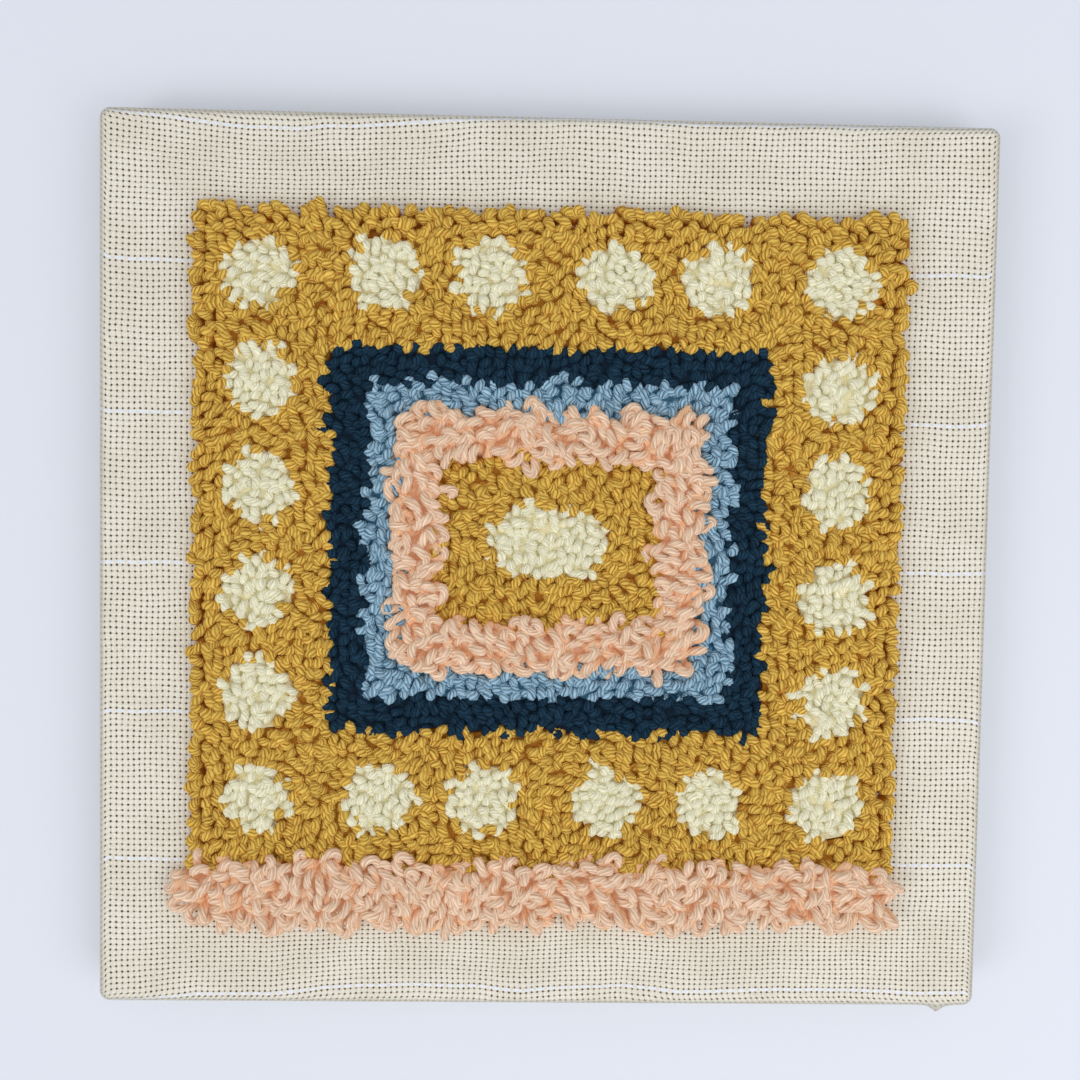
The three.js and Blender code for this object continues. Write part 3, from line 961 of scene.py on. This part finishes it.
@dataclass
class LoopBed:
    """The feet of all loops of the panel: evenly scattered, each in its own patch.

    The wave rate is in radians for each metre, and the turns are in radians.
    """

    panel: PanelMap
    yarns: list[Yarn]
    seed: int = 7
    rounds: int = 12
    jitter: float = 0.3
    spacing: float = 1.06
    beside: float = 0.7
    push: float = 0.25
    waves: int = 7
    wave_rate: float = 75.0
    wave_turn: float = 0.8
    chance_turn: float = 0.55
    points: Array = field(init=False)
    owner: Array = field(init=False)
    heading: Array = field(init=False)

    def __post_init__(self) -> None:
        """Scatters feet over each patch, pushes close ones apart and turns the loops."""
        rng = np.random.default_rng(self.seed)
        points, owner = [], []
        extent = np.array(self.panel.labels.shape) * self.panel.step
        for yarn in Yarn:
            side = math.sqrt(LOOP_SHAPES[yarn].room)
            across, along = (np.arange(0.0, size, side) for size in extent)
            grid = np.stack(np.meshgrid(across, along, indexing="ij"), -1)
            grid[1::2, :, 1] += side / 2
            places = grid.reshape(-1, 2) + self.panel.low
            places = places + rng.uniform(-self.jitter, self.jitter, places.shape) * side
            found = self.panel.at(places)
            mine = [number >= 0 and self.yarns[number] is yarn for number in found]
            points.append(places[mine])
            owner.append(found[mine])
        self.points = np.concatenate(points)
        self.owner = np.concatenate(owner)
        for _ in range(self.rounds):
            self.spread_out()
        self.heading = self.turns(rng)

    def spread_out(self) -> None:
        """Moves feet that stand too close away from each other, inside their patches."""
        tree = KDTree(len(self.points))
        for index, (x, y) in enumerate(self.points):
            tree.insert((x, y, 0.0), index)
        tree.balance()
        moved = self.points.copy()
        for index, (x, y) in enumerate(self.points):
            widest = self.spacing * math.sqrt(LOOP_SHAPES[self.yarns[self.owner[index]]].room)
            for place, other, distance in tree.find_range((x, y, 0.0), widest):
                wanted = widest if self.owner[other] == self.owner[index] else self.beside * widest
                if other != index and 0.0 < distance < wanted:
                    share = self.push * (wanted - distance) / distance
                    moved[index] += share * np.array((x - place.x, y - place.y))
        stays = self.panel.at(moved) == self.owner
        self.points[stays] = moved[stays]

    def turns(self, rng: np.random.Generator) -> Array:
        """Turns neighbouring loops much alike, as rows of punching do.

        Args:
            rng: The source of chance.

        Returns:
            The heading of each loop.
        """
        total = np.zeros(len(self.points))
        for _ in range(self.waves):
            wave = rng.normal(0.0, self.wave_rate, 2)
            total += np.sin(self.points @ wave + rng.uniform(*ANY_PHASE))
        return self.wave_turn * total + rng.normal(0.0, self.chance_turn, len(self.points))


@dataclass
class PileTop:
    """Raster of how high a piece's own yarn stands around each point."""

    panel: PanelMap
    lines: Array
    reach: float = 2.0 * MM
    lit_depth: float = 0.3 * MM
    dark_depth: float = 3.2 * MM
    heights: Array = field(init=False)

    def __post_init__(self) -> None:
        """Marks the height of the yarn along its centrelines and widens it to the yarn's own width."""
        cells = self.panel.cells(self.lines[..., :2].reshape(-1, 2))
        marked = np.zeros(self.panel.labels.shape)
        np.maximum.at(marked, (cells[:, 0], cells[:, 1]), self.lines[..., 2].ravel())
        reach = int(round(self.reach / self.panel.step))
        self.heights = marked
        for i in range(-reach, reach + 1):
            for j in range(-reach, reach + 1):
                if i * i + j * j <= reach * reach + 1:
                    self.heights = np.maximum(self.heights, np.roll(marked, (i, j), (0, 1)))

    def light(self) -> Array:
        """Gives how near the top of the pile each point of the yarn lies.

        Returns:
            A share from 0, deep between loops and fully in painted shade, to 1, on top.
        """
        cells = self.panel.cells(self.lines[..., :2].reshape(-1, 2))
        top = self.heights[cells[:, 0], cells[:, 1]].reshape(self.lines.shape[:-1])
        return 1.0 - smooth_step(self.lit_depth, self.dark_depth, top - self.lines[..., 2])


def tube_mesh(points: Array, run: Array, shades: Array) -> MeshData:
    """Skins rows of sections into closed tubes.

    Args:
        points: Points by tube, section and corner.
        run: Length along each tube at its sections.
        shades: The yarn's data at each point.

    Returns:
        All tubes as one mesh.
    """
    count, steps, sides, _ = points.shape
    step, side = np.meshgrid(np.arange(steps - 1), np.arange(sides), indexing="ij")
    here, after = step * sides + side, step * sides + (side + 1) % sides
    corners = [here, after, after + sides, here + sides]
    offsets = np.arange(count)[:, None, None] * steps * sides
    quads = (offsets + np.stack(corners, -1).reshape(-1, 4)).reshape(-1, 4)
    ends = np.stack([np.arange(sides)[::-1], (steps - 1) * sides + np.arange(sides)])
    caps = (offsets + ends).reshape(-1, sides)

    along = run / MM
    side_uv = np.empty((count, steps - 1, sides, 4, 2))
    side_uv[..., 0] = np.stack([side, side + 1, side + 1, side], -1) / sides
    start, end = along[:, :-1], along[:, 1:]
    side_uv[..., 1] = np.stack([start, start, end, end], -1)[:, :, None]
    corner_uv = np.concatenate([side_uv.reshape(-1, 2), np.zeros((caps.size, 2))])
    return MeshData(points.reshape(-1, 3), [quads, caps], corner_uv, shades.reshape(-1, 4))


@dataclass
class LoopPile:
    """The loops of one piece of the pile."""

    yarn: Yarn
    root: float
    rng: np.random.Generator
    lines: Array = field(init=False)
    facing: Array = field(init=False)

    def bend(self, feet: Array, heading: Array, edge: Array, rim: Array) -> None:
        """Bends each loop's arch over to one side, outwards at the patch's edges.

        Args:
            feet: Middle of each loop's feet, in plan.
            heading: The way that each loop runs.
            edge: Way out of the patch at each loop, zero inside it.
            rim: Way out of the panel at each loop, zero inside it.
        """
        shape, rng, count = LOOP_SHAPES[self.yarn], self.rng, len(feet)
        even = np.linspace(0.0, 1.0, shape.steps)
        share = even + shape.gather * np.sin(2.0 * math.pi * even)
        arch = np.sin(math.pi * share)
        angle = heading[:, None] + rng.normal(0.0, shape.twist, count)[:, None] * arch
        height = shape.height * rng.uniform(*shape.height_spread, count)[:, None]
        span = (shape.span + shape.bulge * arch) * rng.uniform(*shape.span_spread, count)[:, None]
        along = -0.5 * span * np.cos(math.pi * share)
        rise = height * arch**shape.roundness

        lean = rng.normal(0.0, shape.lean_chance, (count, 2)) + shape.lean_out * edge + shape.lean_rim * rim
        amount = np.clip(np.linalg.norm(lean, axis=1), *shape.lean_limits)[:, None]
        way = unit(lean)
        sideways = height / amount * (1.0 - np.cos(amount * rise / height))
        upright = height / amount * np.sin(amount * rise / height)

        self.lines = np.zeros((count, shape.steps, 3))
        self.lines[..., 0] = feet[:, :1] + along * np.cos(angle) + sideways * way[:, :1]
        self.lines[..., 1] = feet[:, 1:] + along * np.sin(angle) + sideways * way[:, 1:]
        clear = shape.radius * smooth_step(0.0, shape.foot, share) * smooth_step(1.0, 1.0 - shape.foot, share)
        self.lines[..., 2] = self.root + np.maximum(upright, clear)
        self.facing = np.stack([-np.sin(heading), np.cos(heading), np.zeros(count)], -1)

    def mesh(self, top: PileTop) -> MeshData:
        """Gives the loops their yarn.

        Args:
            top: How high the yarn stands.

        Returns:
            The loops as one mesh.
        """
        shape, lines = LOOP_SHAPES[self.yarn], self.lines
        tangent = unit(np.gradient(lines, axis=1))
        normal = np.empty_like(lines)
        carried = self.facing
        for step in range(shape.steps):
            along = tangent[:, step]
            carried = unit(carried - (carried * along).sum(-1, keepdims=True) * along)
            normal[:, step] = carried
        binormal = np.cross(tangent, normal)
        lengths = np.linalg.norm(np.diff(lines, axis=1), axis=-1)
        run = np.concatenate([np.zeros((len(lines), 1)), np.cumsum(lengths, 1)], 1)

        count, steps = run.shape
        turn = 2.0 * math.pi * np.arange(shape.sides) / shape.sides
        thick = shape.radius * self.rng.uniform(*shape.radius_spread, (count, 1, 1, 1))
        points = lines[:, :, None] + thick * (
            np.cos(turn)[:, None] * normal[:, :, None] + np.sin(turn)[:, None] * binormal[:, :, None]
        )
        shades = np.ones((count, steps, shape.sides, 4))
        shades[..., 0] = self.rng.uniform(0.0, 1.0, (count, 1, 1))
        # The lit share sets how much painted shade the yarn takes deep in the pile.
        shades[..., 1] = top.light()[..., None]
        return tube_mesh(points, run, shades)

    def stitches(self, feet: Array, heading: Array, level: float, within: float) -> MeshData:
        """Lays the flat stitches that the loops leave on the reverse.

        Args:
            feet: Middle of each loop's feet, in plan.
            heading: The way that each loop runs.
            level: Height of the cloth's reverse.
            within: How far from the middle they still show between the bars.

        Returns:
            The stitches as one mesh.
        """
        shape = StitchShape()
        shown = np.abs(feet).max(1) < within
        feet, heading, count = feet[shown], heading[shown], int(shown.sum())
        reach, width, depth = (np.array(sizes)[:, None] for sizes in (shape.reach, shape.width, shape.depth))
        way = np.stack([np.cos(heading), np.sin(heading)], -1)[:, None, None]
        side = np.stack([-np.sin(heading), np.cos(heading)], -1)[:, None, None]
        off = np.array(shape.across) * width
        points = np.zeros((count, *off.shape, 3))
        points[..., :2] = feet[:, None, None] + reach[..., None] * way + off[..., None] * side
        points[..., 2] = level - np.array(shape.down) * depth
        shades = np.ones((count, *off.shape, 4))
        shades[..., 0] = self.rng.uniform(0.0, 1.0, (count, 1, 1))
        run = np.tile(reach[:, 0] - reach[0], (count, 1))
        return tube_mesh(points, run, shades)


@dataclass(frozen=True)
class PilePiece:
    """One piece of the pile and the solids that it stands for."""

    name: str
    yarn: Yarn
    nodes: tuple[str, ...]
    side: int = 0


PILE_PIECES: tuple[PilePiece, ...] = (
    PilePiece("mustard_border_left", Yarn.MUSTARD, ("pile_border",), -1),
    PilePiece("mustard_border_right", Yarn.MUSTARD, ("pile_border",), 1),
    PilePiece("cream_dots", Yarn.CREAM, tuple(f"pile_dot_{number:02d}" for number in range(1, 21))),
    PilePiece("navy_frame", Yarn.NAVY, ("pile_navy_frame",)),
    PilePiece("blue_frame", Yarn.BLUE, ("pile_blue_frame",)),
    PilePiece("peach_frame", Yarn.PEACH, ("pile_peach_frame",)),
    PilePiece("mustard_centre", Yarn.MUSTARD, ("pile_centre",)),
    PilePiece("cream_oval", Yarn.CREAM, ("pile_oval",)),
    PilePiece("peach_hem", Yarn.PEACH, ("pile_hem",)),
)


@dataclass
class PunchedPanel:
    """The pile: every loop of every patch, over the yarn packed at the loops' feet.

    The bed's data are its chance number and its lit share, as the loops have them, and two spare ones.
    Its lit share of a half gives it about half of the painted shade of the deep colour.
    """

    pieces: tuple[PilePiece, ...] = PILE_PIECES
    edge_reach: float = 3.2 * MM
    bed_inset: float = 0.6 * MM
    bed_clear: float = 5.0 * MM
    bed_rim: float = 0.2
    # A lit share of a half: about half of the painted deep shade.
    bed_data: tuple[float, ...] = (0.5, 0.5, 0.0, 1.0)
    sunk: float = 0.6 * MM
    within: float = 111.0 * MM
    seed: int = 11

    def build(self, materials: dict[Yarn, bpy.types.Material]) -> list[bpy.types.Object]:
        """Builds and dresses the pieces of the pile.

        Args:
            materials: The yarns' materials.

        Returns:
            The pieces.
        """
        nodes = sorted({node for piece in self.pieces for node in piece.nodes})
        yarn_of = {node: piece.yarn for piece in self.pieces for node in piece.nodes}
        panel = PanelMap(nodes)
        bed = LoopBed(panel, [yarn_of[node] for node in nodes])
        edge = panel.way_out(bed.points, bed.owner, self.edge_reach, bare=False)
        rim = panel.way_out(bed.points, bed.owner, self.edge_reach, bare=True)
        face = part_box("cloth")[1].z
        dressed = []
        for number, piece in enumerate(self.pieces):
            mine = np.isin(bed.owner, [nodes.index(node) for node in piece.nodes])
            if piece.side:
                mine &= np.sign(bed.points[:, 0]) == piece.side
            pile = LoopPile(piece.yarn, face - self.sunk, np.random.default_rng(self.seed + number))
            pile.bend(bed.points[mine], bed.heading[mine], edge[mine], rim[mine])
            yarn = pile.mesh(PileTop(panel, pile.lines)).joined(
                pile.stitches(bed.points[mine], bed.heading[mine], face - CLOTH_THICKNESS, self.within)
            )
            if piece.side <= 0:
                for node in piece.nodes:
                    yarn = yarn.joined(self.packed_feet(node, LOOP_SHAPES[piece.yarn].bed, panel, pile.root))
            dressed.append(self.dress(piece, yarn, materials[piece.yarn]))
        return dressed

    @staticmethod
    def dress(piece: PilePiece, yarn: MeshData, material: bpy.types.Material) -> bpy.types.Object:
        """Builds one piece of the pile.

        Args:
            piece: The piece's name, yarn and solids.
            yarn: Its loops, stitches and packed feet.
            material: The yarn's material.

        Returns:
            The piece.
        """
        shown = yarn.build(piece.name)
        shown.data.materials.append(material)
        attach(shown, BODY)
        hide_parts(*piece.nodes)
        LOG.info("%s: %d faces", piece.name, len(shown.data.polygons))
        return shown

    def packed_feet(self, node: str, share: float, panel: PanelMap, root: float) -> MeshData:
        """Presses a patch's solid down for the yarn packed at the loops' feet, and into the cloth at the rim.

        Args:
            node: The solid's name.
            share: How much of its height is left.
            panel: The patches in plan.
            root: The height that the loops start from.

        Returns:
            The pressed solid.
        """
        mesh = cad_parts[node].data
        mesh.calc_loop_triangles()
        points = np.empty((len(mesh.vertices), 3), np.float32)
        mesh.vertices.foreach_get("co", points.ravel())
        faces = np.empty((len(mesh.loop_triangles), 3), np.int32)
        mesh.loop_triangles.foreach_get("vertices", faces.ravel())
        normals = np.empty((len(mesh.vertices), 3), np.float32)
        mesh.vertex_normals.foreach_get("vector", normals.ravel())
        points = points.astype(float)
        points[:, :2] -= self.bed_inset * normals[:, :2]
        low = points[:, 2].min()
        points[:, 2] = low + share * (points[:, 2] - low)
        plan = points[:, :2]
        own = panel.at(plan)
        bare = np.linalg.norm(panel.way_out(plan, own, self.bed_clear, bare=True), axis=1) > self.bed_rim
        points[bare | (own < 0), 2] = root
        shades = np.tile(self.bed_data, (len(points), 1))
        return MeshData(points, [faces], np.zeros((faces.size, 2)), shades)


@dataclass
class StretchedCloth:
    """The cloth: a thin tray pulled over the bars, folded at its corners and turned under.

    The section's insets and drops, and the pulls of the guide threads, are in millimetres: a pull is
    a place across the face and how far the thread strays there.
    """

    thickness: float = CLOTH_THICKNESS
    edge_radius: float = 4.0 * MM
    under_radius: float = 2.6 * MM
    corner_radius: float = 3.6 * MM
    flap: float = 30.0 * MM
    flat_cut: float = 409.0 * MM
    wide_stations: int = 52
    close_from: float = 118.0 * MM
    close_stations: int = 28
    arc_stations: int = 12
    over_steps: int = 7
    under_steps: int = 5
    inner_steps: int = 4
    face_insets: tuple[float, ...] = (110, 80, 55, 40, 32, 28, 24, 20, 16, 12, 9, 6.5, 4.5)
    side_drops: tuple[float, ...] = (2.5, 5.5, 8.5, 11.5, 14.0)
    under_insets: tuple[float, ...] = (6, 12, 18, 24)
    inner_under_insets: tuple[float, ...] = (20, 10, 4)
    inner_face_insets: tuple[float, ...] = (8, 16, 30, 60, 100)
    top_pull: tuple[tuple[float, float], ...] = (
        (-150, 1.0), (-132, 3.1), (-111, 5.9), (-86, 6.8), (-55, 4.6), (-25, 1.9), (0, 0.6),
        (22, 0.8), (46, 2.1), (70, 1.6), (90, 1.3), (102, 1.5), (121, 0.3), (150, -0.5),
    )
    bottom_pull: tuple[tuple[float, float], ...] = (
        (-150, 0.2), (-137, 1.2), (-118, 3.5), (-92, 3.9), (-70, 6.9), (-44, 8.4), (-21, 7.0), (-8, 5.5),
        (5, 6.9), (26, 8.0), (45, 6.0), (56, 5.4), (79, 6.5), (112, 6.7), (132, 5.6), (150, 6.0),
    )
    pull_fade: tuple[float, float] = (112.0 * MM, 150.0 * MM)
    slack: float = 0.3 * MM
    slack_waves: range = range(9, 60, 3)
    slack_scale: float = 5.0
    side_fade: tuple[float, float] = (6.0 * MM, 1.0 * MM)
    hem_wave: float = 1.2 * MM
    hem_shift: float = 1.7
    hem_turns: float = 23.0
    pleat: float = 1.1 * MM
    pleat_at: float = 135.0 * MM
    pleat_width: float = 2.6 * MM
    pleat_drops: tuple[float, float] = (3.0 * MM, 11.0 * MM)
    ear: float = 3.6 * MM
    ear_at: float = 140.0 * MM
    ear_width: float = 2.6 * MM
    ear_point: float = 1.4
    ear_drop: float = 5.5 * MM
    ear_height: float = 3.2 * MM
    mitre_groove: float = 0.4 * MM
    mitre_width: float = 1.5 * MM
    mitre_fade: tuple[float, float] = (5.0 * MM, 14.0 * MM)
    square_on: float = 0.99
    seed: int = 5
    half: float = field(init=False)
    face: float = field(init=False)

    def __post_init__(self) -> None:
        """Takes the outline and the face's height from the solid."""
        _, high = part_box("cloth")
        self.half = high.x
        self.face = high.z

    def stations(self) -> tuple[Array, Array]:
        """Walks round the outline, one side and corner after another.

        Returns:
            Points of the outline, and the way out at each one.
        """
        straight = self.half - self.corner_radius
        near = np.linspace(self.close_from, straight, self.close_stations)
        middle = np.linspace(-self.close_from, self.close_from, self.wide_stations)[1:-1]
        along = np.concatenate([-near[::-1], middle, near[:-1]])
        angle = np.linspace(0.0, math.pi / 2, self.arc_stations, endpoint=False)
        round_ways = np.stack([np.cos(angle), np.sin(angle)], -1)
        side = np.stack([np.full_like(along, self.half), along], -1)
        places = np.concatenate([side, straight + self.corner_radius * round_ways])
        ways = np.concatenate([np.tile((1.0, 0.0), (len(side), 1)), round_ways])
        quarter_turn = np.array([[0, 1], [-1, 0]])
        quarters = [(places, ways)]
        for _ in range(3):
            quarters.append(tuple(rows @ quarter_turn for rows in quarters[-1]))
        return tuple(np.concatenate(rows) for rows in zip(*quarters))

    def section(self) -> Array:
        """Runs from the middle of the face over the edge to the turned-under hem and back inside.

        Returns:
            Rows of inset from the outline and height.
        """
        top, thick, radius = self.face, self.thickness, self.edge_radius
        over = self.rounded(radius, self.over_steps)
        under = self.rounded(self.under_radius, self.under_steps)
        inner_under = self.rounded(self.under_radius - thick, self.inner_steps)[::-1]
        inner_over = self.rounded(radius - thick, self.inner_steps)[::-1]
        drops = np.array(self.side_drops) * MM
        return np.concatenate([
            self.level(self.face_insets, top),
            np.stack([over[:, 0], top - over[:, 1]], -1),
            np.stack([np.zeros_like(drops), top - radius - drops], -1),
            under[:, ::-1],
            self.level(self.under_insets, 0.0),
            [(self.flap, 0.0), (self.flap, thick)],
            self.level(self.inner_under_insets, thick),
            thick + inner_under[:, ::-1],
            np.stack([thick + inner_over[:, 0], top - thick - inner_over[:, 1]], -1),
            self.level(self.inner_face_insets, top - thick),
        ])

    @staticmethod
    def rounded(radius: float, count: int) -> Array:
        """Rounds an edge off by a quarter circle.

        Args:
            radius: The circle's radius.
            count: How many points it has.

        Returns:
            Rows of inset and drop, from the flat to the side.
        """
        angle = np.linspace(0.0, math.pi / 2, count)
        return radius * np.stack([1.0 - np.sin(angle), 1.0 - np.cos(angle)], -1)

    @staticmethod
    def level(insets: Iterable[float], height: float) -> Array:
        """Gives rows of the section at one height, from insets in millimetres."""
        return np.array([(inset * MM, height) for inset in insets])

    def build(self, material: bpy.types.Material, pile: Iterable[bpy.types.Object]) -> bpy.types.Object:
        """Builds and dresses the cloth.

        Args:
            material: The cloth's material.
            pile: The pieces of pile punched through it; not used.

        Returns:
            The cloth.
        """
        cloth = self.sheet().build("stretched_cloth")
        cloth.data.materials.append(material)
        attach(cloth, BODY)
        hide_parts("cloth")
        LOG.info("stretched_cloth: %d faces", len(cloth.data.polygons))
        return cloth

    def sheet(self) -> MeshData:
        """Skins the section round the outline and closes it in the middle of the face.

        Returns:
            The cloth as a closed mesh.
        """
        places, ways = self.stations()
        rows = self.section()
        count = len(places)
        middle = np.array([[0.0, 0.0, self.face], [0.0, 0.0, self.face - self.thickness]])
        points = np.concatenate([self.folded(places, ways, rows).reshape(-1, 3), middle])
        row, ring = np.meshgrid(np.arange(len(rows) - 1), np.arange(count), indexing="ij")
        here, after = row * count + ring, row * count + (ring + 1) % count
        quads = np.stack([here, here + count, after + count, after], -1).reshape(-1, 4)
        first, ahead = here[0], after[0]
        last = (len(rows) - 1) * count
        front = np.stack([np.full(count, len(points) - 2), first, ahead], -1)
        back = np.stack([last + first, np.full(count, len(points) - 1), last + ahead], -1)
        caps = np.concatenate([front, back])
        threads = self.thread_lines(places, ways, rows).reshape(-1, 2) / MM
        point_uv = np.concatenate([threads, np.zeros((2, 2))])
        corner_uv = point_uv[np.concatenate([quads.ravel(), caps.ravel()])]
        return MeshData(points, [quads, caps], corner_uv)

    def folded(self, places: Array, ways: Array, rows: Array) -> Array:
        """Sets the section round the outline, with its pleats, slack and ragged hem.

        Args:
            places: Points of the outline.
            ways: The way out at each one.
            rows: The section.

        Returns:
            Points for each row and station.
        """
        rng = np.random.default_rng(self.seed)
        inset, height = rows[:, :1], rows[:, 1:]
        hem_row = int(np.argmax((rows[:, 0] >= self.flap) & (rows[:, 1] < self.thickness)))
        outer = (np.arange(len(rows)) <= hem_row)[:, None]
        walk = np.linspace(0.0, 2.0 * math.pi, len(places), endpoint=False)
        waves = []
        for turns in self.slack_waves:
            size = rng.normal(0.0, 1.0)
            waves.append(size * np.sin(turns * walk + rng.uniform(*ANY_PHASE)))
        slack = np.sum(waves, 0) / self.slack_scale
        ragged = self.hem_wave * np.sin(self.hem_shift * slack + self.hem_turns * walk)
        hem = np.isclose(inset, self.flap) * ragged
        plan = places[None] * ((self.half - inset + hem) / self.half)[..., None]

        ends = np.abs(ways[:, 1]) > self.square_on
        pleat = ends * np.exp(-(((np.abs(places[:, 0]) - self.pleat_at) / self.pleat_width) ** 2))
        low = smooth_step(*(self.face - drop for drop in self.pleat_drops), height)
        push = low * (self.pleat * pleat - self.slack * np.abs(slack))
        off_ear = np.abs((places[:, 0] - self.ear_at) / self.ear_width)
        ear = (ways[:, 1] < -self.square_on) * np.exp(-(off_ear**self.ear_point))
        at_ear = np.exp(-(((height - self.face + self.ear_drop) / self.ear_height) ** 2))
        on_side = outer * smooth_step(*self.side_fade, inset)
        push = on_side * (push + self.ear * ear * at_ear)
        plan = plan + ways[None] * push[..., None]

        off_mitre = np.abs(np.abs(places[:, 0]) - np.abs(places[:, 1]))
        mitre = np.exp(-((off_mitre / self.mitre_width) ** 2))
        under = outer * smooth_step(*self.mitre_fade, inset) * (height < self.thickness / 2)
        lift = under * mitre * self.mitre_groove
        return np.concatenate([plan, (height + lift)[..., None]], -1)

    def thread_lines(self, places: Array, ways: Array, rows: Array) -> Array:
        """Lays the cloth's two threads over its surface, by the length of cloth from the middle.

        Args:
            places: Points of the outline.
            ways: The way out at each one.
            rows: The section.

        Returns:
            Coordinates along the threads, in metres, for each row and station.
        """
        steps = np.linalg.norm(np.diff(rows, axis=0), axis=1)
        outer = int(np.argmax(rows[:, 1] < self.face)) - 1
        run = np.concatenate([[0.0], np.cumsum(steps)])
        beyond = np.clip(run - run[outer], 0.0, None)
        inset = np.where(np.arange(len(rows)) <= outer, rows[:, 0], rows[outer, 0])
        scale = (self.half - inset) / self.half
        lines = places[None] * scale[:, None, None] + ways[None] * beyond[:, None, None]
        across, along = lines[..., 0], lines[..., 1]
        for sign, pulls in ((1.0, self.top_pull), (-1.0, self.bottom_pull)):
            stops, depths = np.array(pulls).T * MM
            fade = smooth_step(*self.pull_fade, sign * along)
            along = along + sign * fade * np.interp(across, stops, depths)
        return np.stack([across, along], -1)


@dataclass
class PineFrame:
    """The four mitred bars, which keep their solids."""

    finish: PineFinish = PineFinish()

    def dress(self) -> None:
        """Gives each bar wood with its grain along it."""
        grains = {
            Grain.ALONG_X: ("bar_top", "bar_bottom"),
            Grain.ALONG_Y: ("bar_left", "bar_right"),
        }
        for grain, names in grains.items():
            wood = self.finish.material(f"pine_{grain.value}", grain)
            for name in names:
                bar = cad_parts[name].data
                bar.materials.clear()
                bar.materials.append(wood)
                LOG.info("%s: pine along %s", name, grain.value)


@dataclass(frozen=True)
class Window:
    """A square soft light: where it hangs, its side in metres and its power in watts."""

    name: str
    place: Triple
    size: float
    power: float

    def hang(self) -> None:
        """Hangs the light, facing the piece."""
        lamp = bpy.data.lights.new(self.name, "AREA")
        lamp.size = self.size
        lamp.energy = self.power
        holder = bpy.data.objects.new(self.name, lamp)
        holder.location = self.place
        holder.rotation_mode = "QUATERNION"
        holder.rotation_quaternion = (-Vector(self.place)).to_track_quat("-Z", "Y")
        bpy.context.scene.collection.objects.link(holder)


@dataclass
class Studio:
    """The pale surface, the soft light and the camera above the face.

    The focal length is a share of the picture's width. The camera's turn is a rotation vector in
    degrees, away from looking straight down.
    """

    windows: tuple[Window, ...] = (
        Window("near_window", (0.55, -0.35, 0.95), 0.8, 3.0),
        Window("far_window", (-2.2, -1.2, 2.4), 1.6, 22.0),
    )
    sky_colour: Colour = (0.92, 0.95, 1.0)
    sky_strength: float = 0.715
    focal: float = 1211.0 / 1080.0
    sensor: float = 36.0
    clip_start: float = 10.0 * MM
    camera_at: Triple = (-12.9 * MM, 28.3 * MM, 434.0 * MM)
    camera_turn: Triple = (-2.62, -1.41, 0.91)
    floor_size: float = 6.0
    floor_drop: float = 0.3 * MM

    def build(self) -> None:
        """Builds the surface, lights and camera."""
        self.lay_floor()
        self.light()
        self.aim()

    def lay_floor(self) -> None:
        """Lays the pale surface just under the cloth."""
        half = self.floor_size / 2
        corners = np.array([(-half, -half), (half, -half), (half, half), (-half, half)])
        points = np.concatenate([corners, np.full((4, 1), -self.floor_drop)], 1)
        floor = MeshData(points, [np.array([[0, 1, 2, 3]])], np.zeros((4, 2))).build("pale_surface")
        floor.data.materials.append(FloorFinish().material("pale_surface"))

    def light(self) -> None:
        """Hangs the soft lights out past the face's lower corners, with pale light from all round."""
        scene = bpy.context.scene
        scene.view_settings.view_transform = "Standard"
        world = bpy.data.worlds.new("soft_room")
        scene.world = world
        world.use_nodes = True
        sky = world.node_tree.nodes["Background"]
        sky.inputs["Color"].default_value = (*self.sky_colour, 1.0)
        sky.inputs["Strength"].default_value = self.sky_strength
        for window in self.windows:
            window.hang()

    def aim(self) -> None:
        """Sets the camera above the face, turned a little as in the photograph."""
        lens = bpy.data.cameras.new("camera")
        lens.sensor_width = self.sensor
        lens.lens = self.sensor * self.focal
        lens.clip_start = self.clip_start
        camera = bpy.data.objects.new("camera", lens)
        turn = Vector(math.radians(angle) for angle in self.camera_turn)
        camera.location = self.camera_at
        camera.rotation_mode = "QUATERNION"
        camera.rotation_quaternion = Quaternion(turn.normalized(), turn.length)
        bpy.context.scene.collection.objects.link(camera)
        bpy.context.scene.camera = camera


def main() -> None:
    """Builds the piece from its pile to its frame, then the room around it."""
    logging.basicConfig(level=logging.INFO, format="%(message)s")
    yarns = {yarn: finish.material(yarn.value) for yarn, finish in YARN_FINISHES.items()}
    pile = PunchedPanel().build(yarns)
    StretchedCloth().build(ClothFinish().material("natural_cloth"), pile)
    PineFrame().dress()
    Studio().build()


if __name__ == "__main__":
    main()
